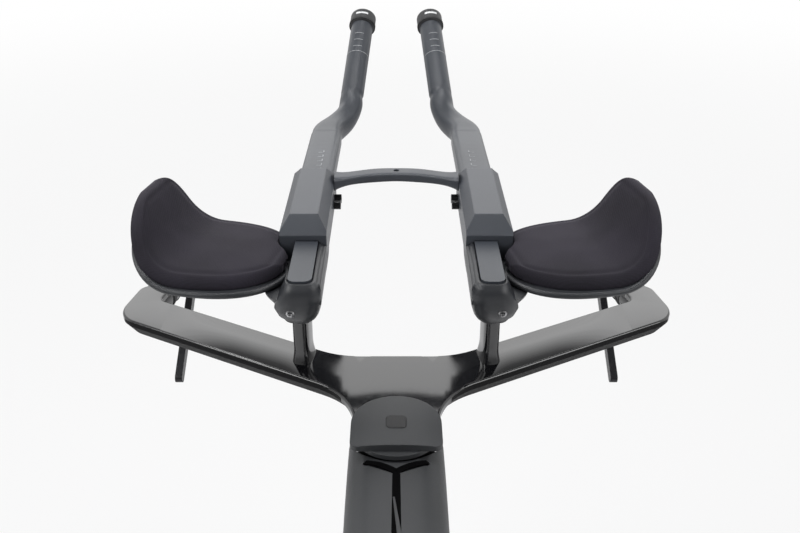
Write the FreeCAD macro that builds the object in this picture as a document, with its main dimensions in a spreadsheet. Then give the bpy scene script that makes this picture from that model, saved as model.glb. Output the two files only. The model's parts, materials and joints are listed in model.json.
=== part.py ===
import FreeCAD, Part
import math
import os
import re

import Sketcher

# A time trial bike, drawn in millimetres with X ahead, Y to the left and Z up from the ground.
# The cockpit follows the photograph; the rest follows common bikes of this kind.

Vector = FreeCAD.Vector
Rotation = FreeCAD.Rotation
AHEAD = Vector(1, 0, 0)
LEFT = Vector(0, 1, 0)
UP = Vector(0, 0, 1)
SIDES = (("left", 1), ("right", -1))

# Driving sizes, in millimetres or degrees
SIZES = (
    # Layout of the bike
    ("wheelbase", 1000), ("tyre_radius", 337), ("bottom_bracket_drop", 75),
    ("chainstay_length", 410), ("head_angle", 73), ("seat_angle", 79),
    ("fork_length", 375), ("fork_offset", 43), ("head_tube_length", 128),
    ("stem_stack", 35), ("bar_reach", 79.5), ("top_tube_drop", 5), ("saddle_rise", 177),
    ("fit_gap", 0.3), ("running_gap", 0.05),
    # Wheels
    ("tyre_width", 26), ("tyre_wall", 2.4), ("rim_seat_radius", 314), ("rim_width", 27),
    ("front_rim_depth", 78), ("disc_hub_width", 46), ("spoke_count", 20), ("spoke_width", 4),
    ("spoke_thickness", 1.4), ("axle_radius", 6), ("front_hub_length", 99.6),
    ("rear_hub_length", 141.6), ("hub_end_radius", 10), ("hub_shell_radius", 13),
    ("flange_radius", 22), ("flange_spacing", 60), ("rear_shell_radius", 20),
    ("freehub_radius", 17), ("rotor_thickness", 1.8), ("front_rotor_radius", 80),
    ("rear_rotor_radius", 70), ("front_rotor_place", 38), ("rear_rotor_place", 52),
    ("rotor_hole_count", 12),
    # Frame and fork
    ("steerer_radius", 14.3), ("crown_seat_radius", 20), ("lower_bearing_radius", 26),
    ("upper_bearing_radius", 20.9), ("bearing_height", 7), ("head_tube_depth", 104),
    ("head_tube_width", 58), ("top_tube_width", 63), ("top_tube_depth", 58),
    ("down_tube_depth", 94), ("down_tube_width", 50), ("seat_tube_depth", 66),
    ("seat_tube_width", 38), ("shell_radius", 27), ("shell_width", 86),
    ("stay_spread", 75), ("blade_spread", 56), ("wheel_gap", 8),
    ("seatpost_depth", 50), ("seatpost_width", 22), ("slit_width", 4.5), ("slit_depth", 5),
    ("strap_hole", 2.1), ("strap_spacing", 64),
    # Base bar
    ("elbow_spacing", 435), ("wing_chord", 36), ("wing_edge", 5), ("wing_thickness", 15),
    ("belly_inset", 7), ("wing_bow", 60), ("bar_sweep", 28.5), ("sweep_start", 41),
    ("elbow_radius", 25), ("elbow_inside", 6), ("elbow_length", 50), ("horn_length", 110),
    ("horn_width", 24), ("horn_height", 22), ("horn_toe_in", 10.5), ("stem_radius", 29),
    ("stem_flare", 50), ("cap_length", 52), ("cap_reach", 105), ("cap_thickness", 5),
    ("cap_seat", 1), ("cap_corner", 5), ("cap_overhang", 1.2), ("cap_plug", 13),
    # Arm rests, extensions and levers
    ("arm_spacing", 123), ("riser_spacing", 132), ("riser_chord", 21), ("riser_width", 11.5),
    ("rest_height", 84), ("rest_toe_in", 12), ("cup_thickness", 3.5), ("pad_thickness", 10),
    ("clamp_length", 105), ("clamp_width", 31), ("clamp_height", 27), ("tail_width", 15),
    ("tail_height", 13), ("rail_width", 26), ("rail_height", 17), ("grip_radius", 10.5),
    ("grip_rise", 31), ("grip_length", 97), ("bend_inset", 18), ("bridge_depth", 14),
    ("bridge_height", 7), ("bridge_hole", 2.1), ("end_cap_radius", 12.3), ("end_cap_length", 15),
    ("button_radius", 8), ("lever_width", 6), ("lever_place", 183), ("lever_pin_radius", 2),
    # Drive
    ("chain_pitch", 12.7), ("chain_line", 45.75), ("ring_teeth", 54), ("cog_teeth", 17),
    ("pulley_teeth", 12), ("crank_length", 170), ("spindle_radius", 15), ("arm_inside", 58),
    ("arm_thickness", 12), ("pedal_length", 56), ("pedal_axle_radius", 4.5),
    ("tooth_thickness", 2.2), ("cog_pitch", 3.65), ("plate_thickness", 2),
)
SIZE_WORD = re.compile(r"\b(" + "|".join(name for name, _ in SIZES) + r")\b")
COG_TEETH = (11, 12, 13, 14, 15, 17, 19, 21, 23, 25, 28)
RING_POINTS = 24
PUBLISHED = []

DOC = FreeCAD.newDocument("time_trial_bike")
SHEET = DOC.addObject("Spreadsheet::Sheet", "Sizes")
for row, (size_name, size_value) in enumerate(SIZES, start=1):
    SHEET.set(f"A{row}", size_name)
    SHEET.set(f"B{row}", str(size_value))
    SHEET.setAlias(f"B{row}", size_name)
DOC.recompute()


class SheetSizes:
    """Reads a driving size from the sheet by its name."""

    def __getattr__(self, name):
        return float(SHEET.get(name))


S = SheetSizes()


# Objects of the document

def bind(item, **formulas):
    """Tie properties to formulas of driving sizes."""
    for name, formula in formulas.items():
        item.setExpression(name, SIZE_WORD.sub(r"Sizes.\1", formula))


def publish(item):
    """Mark an object as a sub-part with a file of its own."""
    PUBLISHED.append(item)
    return item


def feature(label, shape):
    item = DOC.addObject("Part::Feature", label)
    item.Shape = shape
    return item


def cylinder(label, radius, height, base, axis=UP):
    item = DOC.addObject("Part::Cylinder", label)
    bind(item, Radius=radius, Height=height)
    item.Placement = FreeCAD.Placement(base, Rotation(UP, axis))
    return item


def fuse(label, *items):
    item = DOC.addObject("Part::MultiFuse", label)
    item.Shapes = list(items)
    return item


def cut(label, base, *tools):
    """Cut tools from a base, one after another."""
    for number, tool in enumerate(tools, start=1):
        last = number == len(tools)
        item = DOC.addObject("Part::Cut", label if last else f"{label}_cut_{number}")
        item.Base = base
        item.Tool = tool
        base = item
    return base


def make_body(label, place):
    body = DOC.addObject("PartDesign::Body", label)
    body.Placement = place
    return body


def make_sketch(body, role, label):
    plane = next(item for item in body.Origin.OriginFeatures if item.Role == role)
    sketch = body.newObject("Sketcher::SketchObject", label)
    sketch.AttachmentSupport = [(plane, "")]
    sketch.MapMode = "FlatFace"
    return sketch


def draw_outline(sketch, corners):
    """Draw a closed outline whose corners are pairs of formulas."""
    count = len(corners)
    start = [Vector(math.cos(math.tau * k / count), math.sin(math.tau * k / count), 0)
             for k in range(count)]
    first = sketch.GeometryCount
    for k in range(count):
        sketch.addGeometry(Part.LineSegment(start[k], start[(k + 1) % count]), False)
    for k in range(count):
        follower = first + (k + 1) % count
        sketch.addConstraint(Sketcher.Constraint("Coincident", first + k, 2, follower, 1))
    for k, corner in enumerate(corners):
        place_point(sketch, first + k, 1, corner, start[k])


def place_point(sketch, geometry, point, corner, guess):
    """Tie a point of a sketch to a pair of formulas."""
    for kind, formula, axis, value in (("DistanceX", corner[0], -2, guess.x),
                                       ("DistanceY", corner[1], -1, guess.y)):
        if formula == "0":
            sketch.addConstraint(Sketcher.Constraint("PointOnObject", geometry, point, axis))
            continue
        rule = Sketcher.Constraint(kind, -1, 1, geometry, point, value)
        number = sketch.addConstraint(rule)
        bind(sketch, **{f"Constraints[{number}]": formula})


def draw_circle(sketch, radius, centre=("0", "0")):
    number = sketch.addGeometry(Part.Circle(Vector(1, 1, 0), UP, 3), False)
    place_point(sketch, number, 3, centre, Vector(1, 1, 0))
    rule = sketch.addConstraint(Sketcher.Constraint("Radius", number, 3))
    bind(sketch, **{f"Constraints[{rule}]": radius})


def pad(body, sketch, length, midplane=False, back=False):
    item = body.newObject("PartDesign::Pad", sketch.Label + "_pad")
    item.Profile = sketch
    item.Midplane = midplane
    item.Reversed = back
    bind(item, Length=length)
    return item


def pocket(body, sketch, label):
    """Cut a sketch through the whole body, both ways."""
    item = body.newObject("PartDesign::Pocket", label)
    item.Profile = sketch
    item.Type = 1
    item.Midplane = True
    return item


def turned_body(label, place, corners):
    """A body turned round its own Y axis from corners given as radius and place along it."""
    body = make_body(label, place)
    sketch = make_sketch(body, "XY_Plane", label + "_outline")
    draw_outline(sketch, corners)
    turn = body.newObject("PartDesign::Revolution", label + "_turn")
    turn.Profile = sketch
    turn.ReferenceAxis = (sketch, ["V_Axis"])
    turn.Angle = 360
    return body


# Shapes

def power_of(value, power):
    return math.copysign(abs(value) ** (2 / power), value)


def section(centre, along, across, length, width, power=2.0, taper=0.0):
    """A closed smooth outline, boxier with more power, fuller ahead with more taper."""
    points = []
    for k in range(RING_POINTS):
        angle = math.tau * k / RING_POINTS
        u = power_of(math.cos(angle), power)
        v = power_of(math.sin(angle), power) * (1 + taper * math.cos(angle))
        points.append(centre + along * (length / 2 * u) + across * (width / 2 * v))
    middle = RING_POINTS // 2
    steps = [float(k) for k in range(middle + 1)]
    edges = []
    for arc, aim in ((points[:middle + 1], across), (points[middle:] + points[:1], across * -1)):
        start, end = (arc[1] - arc[0]).Length, (arc[-1] - arc[-2]).Length
        curve = Part.BSplineCurve()
        curve.interpolate(Points=arc, Parameters=steps, InitialTangent=aim * start,
                          FinalTangent=aim * -end, Scale=False)
        edges.append(curve.toShape())
    return Part.Wire(edges)


def slab_section(centre, along, across, length, thickness, crown):
    """Flat outline with square edges whose top bulges by the crown."""
    half, low, high = along * (length / 2), across * (-thickness / 2), across * (thickness / 2)
    a, b, c, d = centre - half + low, centre + half + low, centre + half + high, centre - half + high
    edges = [Part.LineSegment(a, b).toShape(), Part.LineSegment(b, c).toShape()]
    if crown:
        edges.append(Part.Arc(c, centre + high + across * crown, d).toShape())
    else:
        edges.append(Part.LineSegment(c, d).toShape())
    edges.append(Part.LineSegment(d, a).toShape())
    return Part.Wire(edges)


def loft(sections):
    return Part.makeLoft(sections, True)


def largest(shape):
    """The biggest solid of a shape."""
    return max(shape.Solids, key=lambda solid: solid.Volume)


def united(shapes):
    """Fuse shapes one after another."""
    whole = shapes[0]
    for shape in shapes[1:]:
        whole = whole.fuse(shape)
    return whole


def rod(start, end, radius):
    return Part.makeCylinder(radius, (end - start).Length, start, end - start)


def tube_along(points, radius):
    """Round rod through points, with ball joints at the corners."""
    parts = [rod(a, b, radius) for a, b in zip(points, points[1:])]
    parts += [Part.makeSphere(radius, point) for point in points[1:-1]]
    return united(parts)


def link(first, first_radius, second, second_radius, thickness):
    """Flat link round two points, from their Y towards -Y by the thickness."""
    span = second - first
    lean = math.acos((first_radius - second_radius) / span.Length)
    aim = math.atan2(span.z, span.x)

    def rim(centre, radius, angle):
        return centre + Vector(math.cos(angle), 0, math.sin(angle)) * radius

    a, b = rim(first, first_radius, aim + lean), rim(second, second_radius, aim + lean)
    c, d = rim(second, second_radius, aim - lean), rim(first, first_radius, aim - lean)
    edges = [Part.LineSegment(a, b).toShape(),
             Part.Arc(b, rim(second, second_radius, aim), c).toShape(),
             Part.LineSegment(c, d).toShape(),
             Part.Arc(d, rim(first, first_radius, aim + math.pi), a).toShape()]
    return Part.Face(Part.Wire(edges)).extrude(LEFT * -thickness)


def toothed_disc(teeth, centre, thickness, phase):
    """Sprocket centred on a point, with a gap between teeth at the phase angle."""
    pitch_radius = teeth * S.chain_pitch / math.tau
    step = math.tau / teeth
    points = []
    for k in range(teeth):
        for share, radius in ((-0.2, -3.6), (0.2, -3.6), (0.42, 2.0), (0.58, 2.0)):
            angle = phase + step * (k + share)
            reach = pitch_radius + radius
            points.append(centre + Vector(math.cos(angle), 0, math.sin(angle)) * reach)
    outline = Part.makePolygon(points + points[:1])
    disc = Part.Face(outline).extrude(LEFT * thickness)
    disc.translate(LEFT * (-thickness / 2))
    return disc


def ring(inner, outer, start, end, centre):
    """Ring about the Y axis through a point, from one Y to another."""
    base = Vector(centre.x, start, centre.z)
    solid = Part.makeCylinder(outer, end - start, base, LEFT)
    return solid.cut(Part.makeCylinder(inner, end - start, base, LEFT))


# Places of the bike

FRONT_AXLE = Vector(S.wheelbase / 2, 0, S.tyre_radius)
REAR_AXLE = Vector(-S.wheelbase / 2, 0, S.tyre_radius)
BRACKET = REAR_AXLE + Vector(math.sqrt(S.chainstay_length ** 2 - S.bottom_bracket_drop ** 2), 0,
                             -S.bottom_bracket_drop)
HEAD = math.radians(S.head_angle)
AXIS = Vector(-math.cos(HEAD), 0, math.sin(HEAD))
AXIS_AHEAD = Vector(math.sin(HEAD), 0, math.cos(HEAD))
AXIS_FOOT = FRONT_AXLE - AXIS_AHEAD * S.fork_offset
SEAT = math.radians(S.seat_angle)
SEAT_LINE = Vector(-math.cos(SEAT), 0, math.sin(SEAT))
SEAT_AHEAD = Vector(math.sin(SEAT), 0, math.cos(SEAT))


def on_axis(height):
    """Point of the steering axis at a height."""
    return AXIS_FOOT + AXIS * ((height - AXIS_FOOT.z) / AXIS.z)


def on_seat_line(height):
    return BRACKET + SEAT_LINE * ((height - BRACKET.z) / SEAT_LINE.z)


CROWN = AXIS_FOOT + AXIS * math.sqrt(S.fork_length ** 2 - S.fork_offset ** 2)
HEAD_TOP = CROWN.z + AXIS.z * S.head_tube_length
BAR_HEIGHT = HEAD_TOP + S.stem_stack
TOP_TUBE_TOP = BAR_HEIGHT - S.top_tube_drop
SADDLE_TOP = TOP_TUBE_TOP + S.saddle_rise
BAR_FRONT = on_axis(BAR_HEIGHT).x + S.bar_reach


def cockpit(ahead, left, above=0.0):
    """Point measured from the middle of the bar's front edge."""
    return Vector(BAR_FRONT + ahead, left, BAR_HEIGHT + above)


# Wheels

def make_tyre(label, axle):
    placed = FreeCAD.Placement(axle, Rotation(UP, LEFT))
    outside = DOC.addObject("Part::Torus", label + "_outside")
    bind(outside, Radius1="tyre_radius - tyre_width / 2", Radius2="tyre_width / 2")
    inside = DOC.addObject("Part::Torus", label + "_inside")
    bind(inside, Radius1="tyre_radius - tyre_width / 2", Radius2="tyre_width / 2 - tyre_wall")
    outside.Placement = placed
    inside.Placement = placed
    bed = cylinder(label + "_bed", "rim_seat_radius + 0.1", "tyre_width", axle - LEFT * (S.tyre_width / 2),
                   LEFT)
    return publish(cut(label, outside, inside, bed))


def turned_skin(label, axle, flank, inner):
    """Turn a smooth flank, given as radius and half width, into a wheel round a bore."""
    right = [Vector(r, -w, 0) for r, w in flank]
    left = [Vector(r, w, 0) for r, w in flank]
    if inner is None:
        curve = Part.BSplineCurve()
        curve.interpolate(right + left[-2::-1])
        edges = [curve.toShape()]
    else:
        edges = []
        for side in (right, left[::-1]):
            curve = Part.BSplineCurve()
            curve.interpolate(side)
            edges.append(curve.toShape())
        edges.insert(1, Part.LineSegment(right[-1], left[-1]).toShape())
    edges.append(Part.LineSegment(left[0], right[0]).toShape())
    solid = Part.Face(Part.Wire(edges)).revolve(Vector(), LEFT, 360)
    solid.translate(axle)
    return publish(feature(label, solid))


def make_rotor(label, axle, place, radius, bore):
    body = make_body(label, FreeCAD.Placement(axle + LEFT * place, Rotation()))
    sketch = make_sketch(body, "XZ_Plane", label + "_outline")
    draw_circle(sketch, radius)
    draw_circle(sketch, bore)
    pad(body, sketch, "rotor_thickness", midplane=True)
    windows = make_sketch(body, "XZ_Plane", label + "_windows")
    draw_circle(windows, f"{radius} * 0.11", (f"{radius} * 0.58", "0"))
    draw_circle(windows, f"{radius} * 0.05", (f"{radius} * 0.83 * cos(15)", f"{radius} * 0.83 * sin(15)"))
    draw_circle(windows, f"{radius} * 0.05", (f"{radius} * 0.9", "0"))
    cutter = pocket(body, windows, label + "_window_cut")
    pattern = body.newObject("PartDesign::PolarPattern", label + "_pattern")
    pattern.Originals = [cutter]
    pattern.Axis = (windows, ["N_Axis"])
    pattern.Angle = 360
    bind(pattern, Occurrences="rotor_hole_count")
    body.Tip = pattern
    return publish(body)


def make_spokes():
    nose = S.rim_seat_radius - S.front_rim_depth
    count = int(S.spoke_count)
    spokes = []
    for k in range(count):
        side = 1 if k % 2 else -1
        turn = math.tau * k / count
        twist = math.radians(38) * (1 if (k // 2) % 2 else -1)
        foot_reach = S.flange_radius + 0.15
        foot = Vector(math.cos(turn + twist) * foot_reach, side * S.flange_spacing / 2,
                      math.sin(turn + twist) * foot_reach)
        tip_reach = nose - 0.5
        tip = Vector(math.cos(turn) * tip_reach, side * 1.8, math.sin(turn) * tip_reach)
        aim = (tip - foot).normalize()
        flat = aim.cross(LEFT).normalize()
        thin = aim.cross(flat).normalize()
        half, edge = flat * (S.spoke_width / 2), thin * (S.spoke_thickness / 2)
        corners = [foot + half + edge, foot - half + edge, foot - half - edge, foot + half - edge]
        face = Part.Face(Part.makePolygon(corners + corners[:1]))
        spokes.append(face.extrude(tip - foot))
    shape = Part.makeCompound(spokes)
    shape.translate(FRONT_AXLE)
    hub_room = Part.makeCylinder(S.flange_radius + 0.1, 80, FRONT_AXLE - LEFT * 40, LEFT)
    rim_room = Part.makeCylinder(nose - 0.4, 80, FRONT_AXLE - LEFT * 40, LEFT)
    publish(feature("front_spokes", shape.cut(hub_room).common(rim_room)))


def make_wheels():
    make_tyre("front_tyre", FRONT_AXLE)
    make_tyre("rear_tyre", REAR_AXLE)
    seat, half = S.rim_seat_radius, S.rim_width / 2
    depth = S.front_rim_depth
    turned_skin("front_rim", FRONT_AXLE, [(seat, half - 2), (seat - depth * 0.1, half - 0.4),
                (seat - depth * 0.34, half), (seat - depth * 0.66, half * 0.72),
                (seat - depth * 0.92, half * 0.34), (seat - depth, 0)], None)
    hub_half = S.disc_hub_width / 2
    bore = S.rear_shell_radius + 0.05
    turned_skin("rear_disc", REAR_AXLE, [(seat, half - 2), (seat * 0.97, half - 0.6),
                (seat * 0.8, half + 1.5), (seat * 0.45, hub_half - 4), (seat * 0.2, hub_half - 0.6),
                (bore, hub_half)], bore)
    end, flange = "front_hub_length / 2", "flange_spacing / 2"
    bore_text = "axle_radius + running_gap"
    seat_text = "hub_shell_radius + 2.15"
    half_outline = [(bore_text, end), ("hub_end_radius", end), ("hub_end_radius", "front_rotor_place + 3"),
                    (seat_text, "front_rotor_place + 3"), (seat_text, f"{flange} + 2"),
                    ("flange_radius", f"{flange} + 2"),
                    ("flange_radius", f"{flange} - 2"), ("hub_shell_radius", f"{flange} - 8")]
    mirrored = [(radius, f"-({place})") for radius, place in half_outline[::-1]]
    publish(turned_body("front_hub", FreeCAD.Placement(FRONT_AXLE, Rotation()), half_outline + mirrored))
    end = "rear_hub_length / 2"
    publish(turned_body("rear_hub", FreeCAD.Placement(REAR_AXLE, Rotation()), [
        (bore_text, end), ("hub_end_radius", end), ("hub_end_radius", "rear_rotor_place + 5"),
        ("freehub_radius - 1.5", "rear_rotor_place + 4"),
        ("freehub_radius - 1.5", "rear_rotor_place - rotor_thickness / 2"),
        ("rear_shell_radius + 3", "rear_rotor_place - rotor_thickness / 2"),
        ("rear_shell_radius + 3", "disc_hub_width / 2 + 0.2"),
        ("rear_shell_radius", "disc_hub_width / 2 + 0.2"), ("rear_shell_radius", "-disc_hub_width / 2 - 0.2"),
        ("freehub_radius", "-disc_hub_width / 2 - 2"), ("freehub_radius", f"-({end}) + 4.2"),
        ("hub_end_radius", f"-({end}) + 4"), ("hub_end_radius", f"-({end})"), (bore_text, f"-({end})")]))
    make_rotor("front_rotor", FRONT_AXLE, S.front_rotor_place, "front_rotor_radius",
               "hub_shell_radius + 2.2")
    make_rotor("rear_rotor", REAR_AXLE, S.rear_rotor_place, "rear_rotor_radius", "freehub_radius - 1.45")
    make_spokes()


# Frame and fork

def stay(points, sign):
    """Loft a stay through rows of ahead, left, up, height and thickness."""
    parts = []
    for ahead, left, up, height, thickness in points:
        centre = Vector(ahead, sign * left, up)
        parts.append(section(centre, UP, LEFT, height, thickness, 2.4))
    return loft(parts)


def main_tubes():
    """Head, top, down and seat tube as separate lofts."""
    top = on_axis(HEAD_TOP)
    bottom = CROWN + AXIS * 4
    parts = []
    for point, depth, width in ((bottom, S.head_tube_depth * 0.9, S.head_tube_width + 2),
                                (top, S.head_tube_depth, S.head_tube_width)):
        centre = point - AXIS_AHEAD * (depth / 2 - 33)
        parts.append(section(centre, AXIS_AHEAD, LEFT, depth, width, 2.2, 0.12))
    head_tube = loft(parts)
    crest = TOP_TUBE_TOP
    front, rear = on_axis(crest).x, on_seat_line(crest - 30).x
    parts = []
    for share, width, depth in ((0, 1, 1), (0.25, 0.98, 1), (0.6, 0.84, 0.95), (1, 0.7, 0.92)):
        tall = S.top_tube_depth * depth
        centre = Vector(front + (rear - front) * share, 0, crest - tall / 2)
        parts.append(section(centre, UP, LEFT, tall, S.top_tube_width * width, 3.4))
    top_tube = loft(parts)
    start = CROWN + AXIS * 48 - AXIS_AHEAD * 8
    end = BRACKET + Vector(4, 0, 4)
    across = (end - start).cross(LEFT).normalize()
    parts = []
    for share, depth, width in ((0, 1, 1), (0.5, 1, 1.04), (1, 0.86, 1.24)):
        centre = start + (end - start) * share
        parts.append(section(centre, across, LEFT, S.down_tube_depth * depth, S.down_tube_width * width, 2.6))
    down_tube = loft(parts)
    parts = []
    for height, depth, width, back in ((BRACKET.z - 4, 1.45, 1.25, 9), (BRACKET.z + 110, 1.4, 1.05, 10),
                                       (TOP_TUBE_TOP * 0.72, 1, 1, 0), (TOP_TUBE_TOP + 8, 1, 1, 0)):
        centre = on_seat_line(height) - SEAT_AHEAD * back
        parts.append(section(centre, SEAT_AHEAD, LEFT, S.seat_tube_depth * depth,
                             S.seat_tube_width * width, 2.3, 0.15))
    return head_tube, top_tube, down_tube, loft(parts)


def wheel_room(axle, half_width):
    return Part.makeCylinder(S.tyre_radius + S.wheel_gap, 2 * half_width, axle - LEFT * half_width, LEFT)


def axle_bore(axle):
    return Part.makeCylinder(S.axle_radius + S.fit_gap / 6, 200, axle - LEFT * 100, LEFT)


def rear_triangle(obstacles):
    """Stays with their dropouts, one solid on each side, cut clear of the obstacles."""
    joint = on_seat_line(TOP_TUBE_TOP * 0.71)
    foot = REAR_AXLE + Vector(2, 0, 6)
    inside = S.rear_hub_length / 2 + 0.2
    solids = []
    for _, sign in SIDES:
        chain_stay = stay([(BRACKET.x + 6, 30, BRACKET.z, 48, 12),
                           (BRACKET.x - 60, 30.5, BRACKET.z + 8, 40, 12),
                           (BRACKET.x - 128, 32.5, BRACKET.z + 24, 32, 12),
                           (REAR_AXLE.x + 70, 63, REAR_AXLE.z - 9, 24, 10),
                           (REAR_AXLE.x - 2, S.stay_spread, REAR_AXLE.z, 24, 7)], sign)
        rows = []
        for share, left, depth, thickness in ((-0.02, 14, 40, 14), (0.2, 27, 36, 11), (0.7, 60, 30, 9),
                                              (1, S.stay_spread, 24, 7)):
            point = joint + (foot - joint) * share
            rows.append((point.x, left, point.z, depth, thickness))
        pieces = []
        for piece in (chain_stay, stay(rows, sign)):
            for obstacle in obstacles:
                piece = largest(piece.cut(obstacle))
            pieces.append(piece)
        pieces.append(Part.makeCylinder(17, 8, REAR_AXLE + LEFT * (sign * inside), LEFT * sign))
        if sign < 0:
            pieces.append(link(Vector(REAR_AXLE.x, -inside, REAR_AXLE.z), 16, hanger_point(-inside), 10, 8))
        else:
            pieces.append(Part.makeBox(58, 15, 20, Vector(REAR_AXLE.x + 32, 54, REAR_AXLE.z - 10)))
        solids.append(united(pieces).cut(axle_bore(REAR_AXLE)))
    return Part.makeCompound(solids)


def hanger_point(left):
    return Vector(REAR_AXLE.x - 4, left, REAR_AXLE.z - 30)


def slit_shape(depth, width, top):
    """Y-shaped slit of the top tube, from its top down."""
    fork_point = cockpit(-S.cap_reach - 14, 0).x
    parts = []
    for end_ahead, end_left in ((-70, 0), (9.5, 18.3), (9.5, -18.3)):
        aim = Vector(end_ahead, end_left, 0)
        side = Vector(-aim.y, aim.x, 0).normalize() * (width / 2)
        start = Vector(fork_point, 0, top)
        corners = [start + side, start - side, start + aim - side, start + aim + side]
        face = Part.Face(Part.makePolygon(corners + corners[:1]))
        parts.append(face.extrude(UP * -depth))
        parts.append(Part.makeCylinder(width / 2, depth, start + aim - UP * depth))
    parts.append(Part.makeCylinder(width / 2, depth, Vector(fork_point, 0, top - depth)))
    return united(parts)


def strap_holes():
    """Round holes for a bag on the top tube."""
    start = Vector(cockpit(-250, 0).x, 0, TOP_TUBE_TOP - 20)
    return [Part.makeCylinder(S.strap_hole, 30, start - AHEAD * (k * S.strap_spacing)) for k in range(2)]


def make_frame():
    head_tube, top_tube, down_tube, seat_tube = main_tubes()
    top = on_axis(HEAD_TOP)
    lower = CROWN + AXIS * 2
    gap = "fit_gap / 6"
    publish(cut("head_tube", feature("head_tube_solid", head_tube),
                cylinder("head_bore", "crown_seat_radius - 2", "fork_length", lower - AXIS * 40, AXIS),
                cylinder("lower_cup", f"lower_bearing_radius + {gap}", "bearing_height + 40",
                         lower - AXIS * 40, AXIS),
                cylinder("upper_cup", f"upper_bearing_radius + {gap}", "bearing_height + 20",
                         top - AXIS * S.bearing_height, AXIS)))
    stem_room = Part.makeCylinder(S.stem_radius + 1.5, 120, top, AXIS)
    beam = top_tube.cut(stem_room).cut(head_tube).cut(seat_tube)
    beam = largest(beam)
    beam = beam.cut(slit_shape(S.slit_depth + 3, S.slit_width, TOP_TUBE_TOP + 3))
    publish(feature("top_tube", beam.cut(strap_holes())))
    shell = Part.makeCylinder(S.shell_radius, S.shell_width, BRACKET - LEFT * (S.shell_width / 2), LEFT)
    crown_room = Part.makeCylinder(64, 120, CROWN + AXIS * 4, AXIS * -1)
    lower_tube = largest(down_tube.cut(crown_room))
    lower_tube = largest(lower_tube.cut(head_tube).cut(seat_tube).cut(shell))
    publish(feature("down_tube", largest(lower_tube.cut(top_tube))))
    socket = post_shape(S.fit_gap, on_seat_line(TOP_TUBE_TOP - 240).z, TOP_TUBE_TOP + 40)
    mast = seat_tube.cut(wheel_room(REAR_AXLE, 60)).cut(socket)
    bore = cylinder("shell_bore", "crown_seat_radius + 0.5", "shell_width + 20",
                    BRACKET - LEFT * (S.shell_width / 2 + 10), LEFT)
    publish(cut("seat_tube", feature("mast", united([mast, shell])), bore))
    hub_half = S.rear_hub_length / 2 + 0.2
    hub_room = Part.makeCylinder(24, 2 * hub_half, REAR_AXLE - LEFT * hub_half, LEFT)
    publish(feature("rear_stays", rear_triangle([seat_tube, shell, hub_room])))
    rings = []
    for label, base, inner, outer in (
            ("lower", lower, "crown_seat_radius + running_gap", "lower_bearing_radius"),
            ("upper", top - AXIS * S.bearing_height, "steerer_radius + running_gap", "upper_bearing_radius")):
        body = cylinder(f"{label}_bearing_body", outer, "bearing_height", base, AXIS)
        hole = cylinder(f"{label}_bearing_bore", inner, "bearing_height", base, AXIS)
        rings.append(cut(f"{label}_bearing", body, hole))
    for side, sign in SIDES:
        base = BRACKET + LEFT * (sign * (S.shell_width / 2 - 12))
        body = cylinder(f"cup_body_{side}", f"crown_seat_radius + 0.5 - {gap}", "13.4", base, LEFT * sign)
        lip = cylinder(f"cup_lip_{side}", "crown_seat_radius + 3", "1.4", base + LEFT * (sign * 12.02),
                       LEFT * sign)
        hole = cylinder(f"cup_bore_{side}", "spindle_radius + running_gap", "20", base - LEFT * (sign * 2),
                        LEFT * sign)
        rings.append(cut(f"cup_{side}", fuse(f"cup_outside_{side}", body, lip), hole))
    publish(fuse("frame_bearings", *rings))


def fork_end(sign):
    """Plate under a fork blade that holds the front axle."""
    middle = FRONT_AXLE + LEFT * (sign * (S.front_hub_length / 2 + 0.2))
    half, top = AXIS_AHEAD * 15, AXIS * 20
    edges = [Part.LineSegment(middle + half + top, middle - half + top).toShape(),
             Part.LineSegment(middle - half + top, middle - half).toShape(),
             Part.Arc(middle - half, middle - AXIS * 15, middle + half).toShape(),
             Part.LineSegment(middle + half, middle + half + top).toShape()]
    plate = Part.Face(Part.Wire(edges)).extrude(LEFT * (sign * 12.5))
    return plate.cut(axle_bore(FRONT_AXLE))


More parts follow.
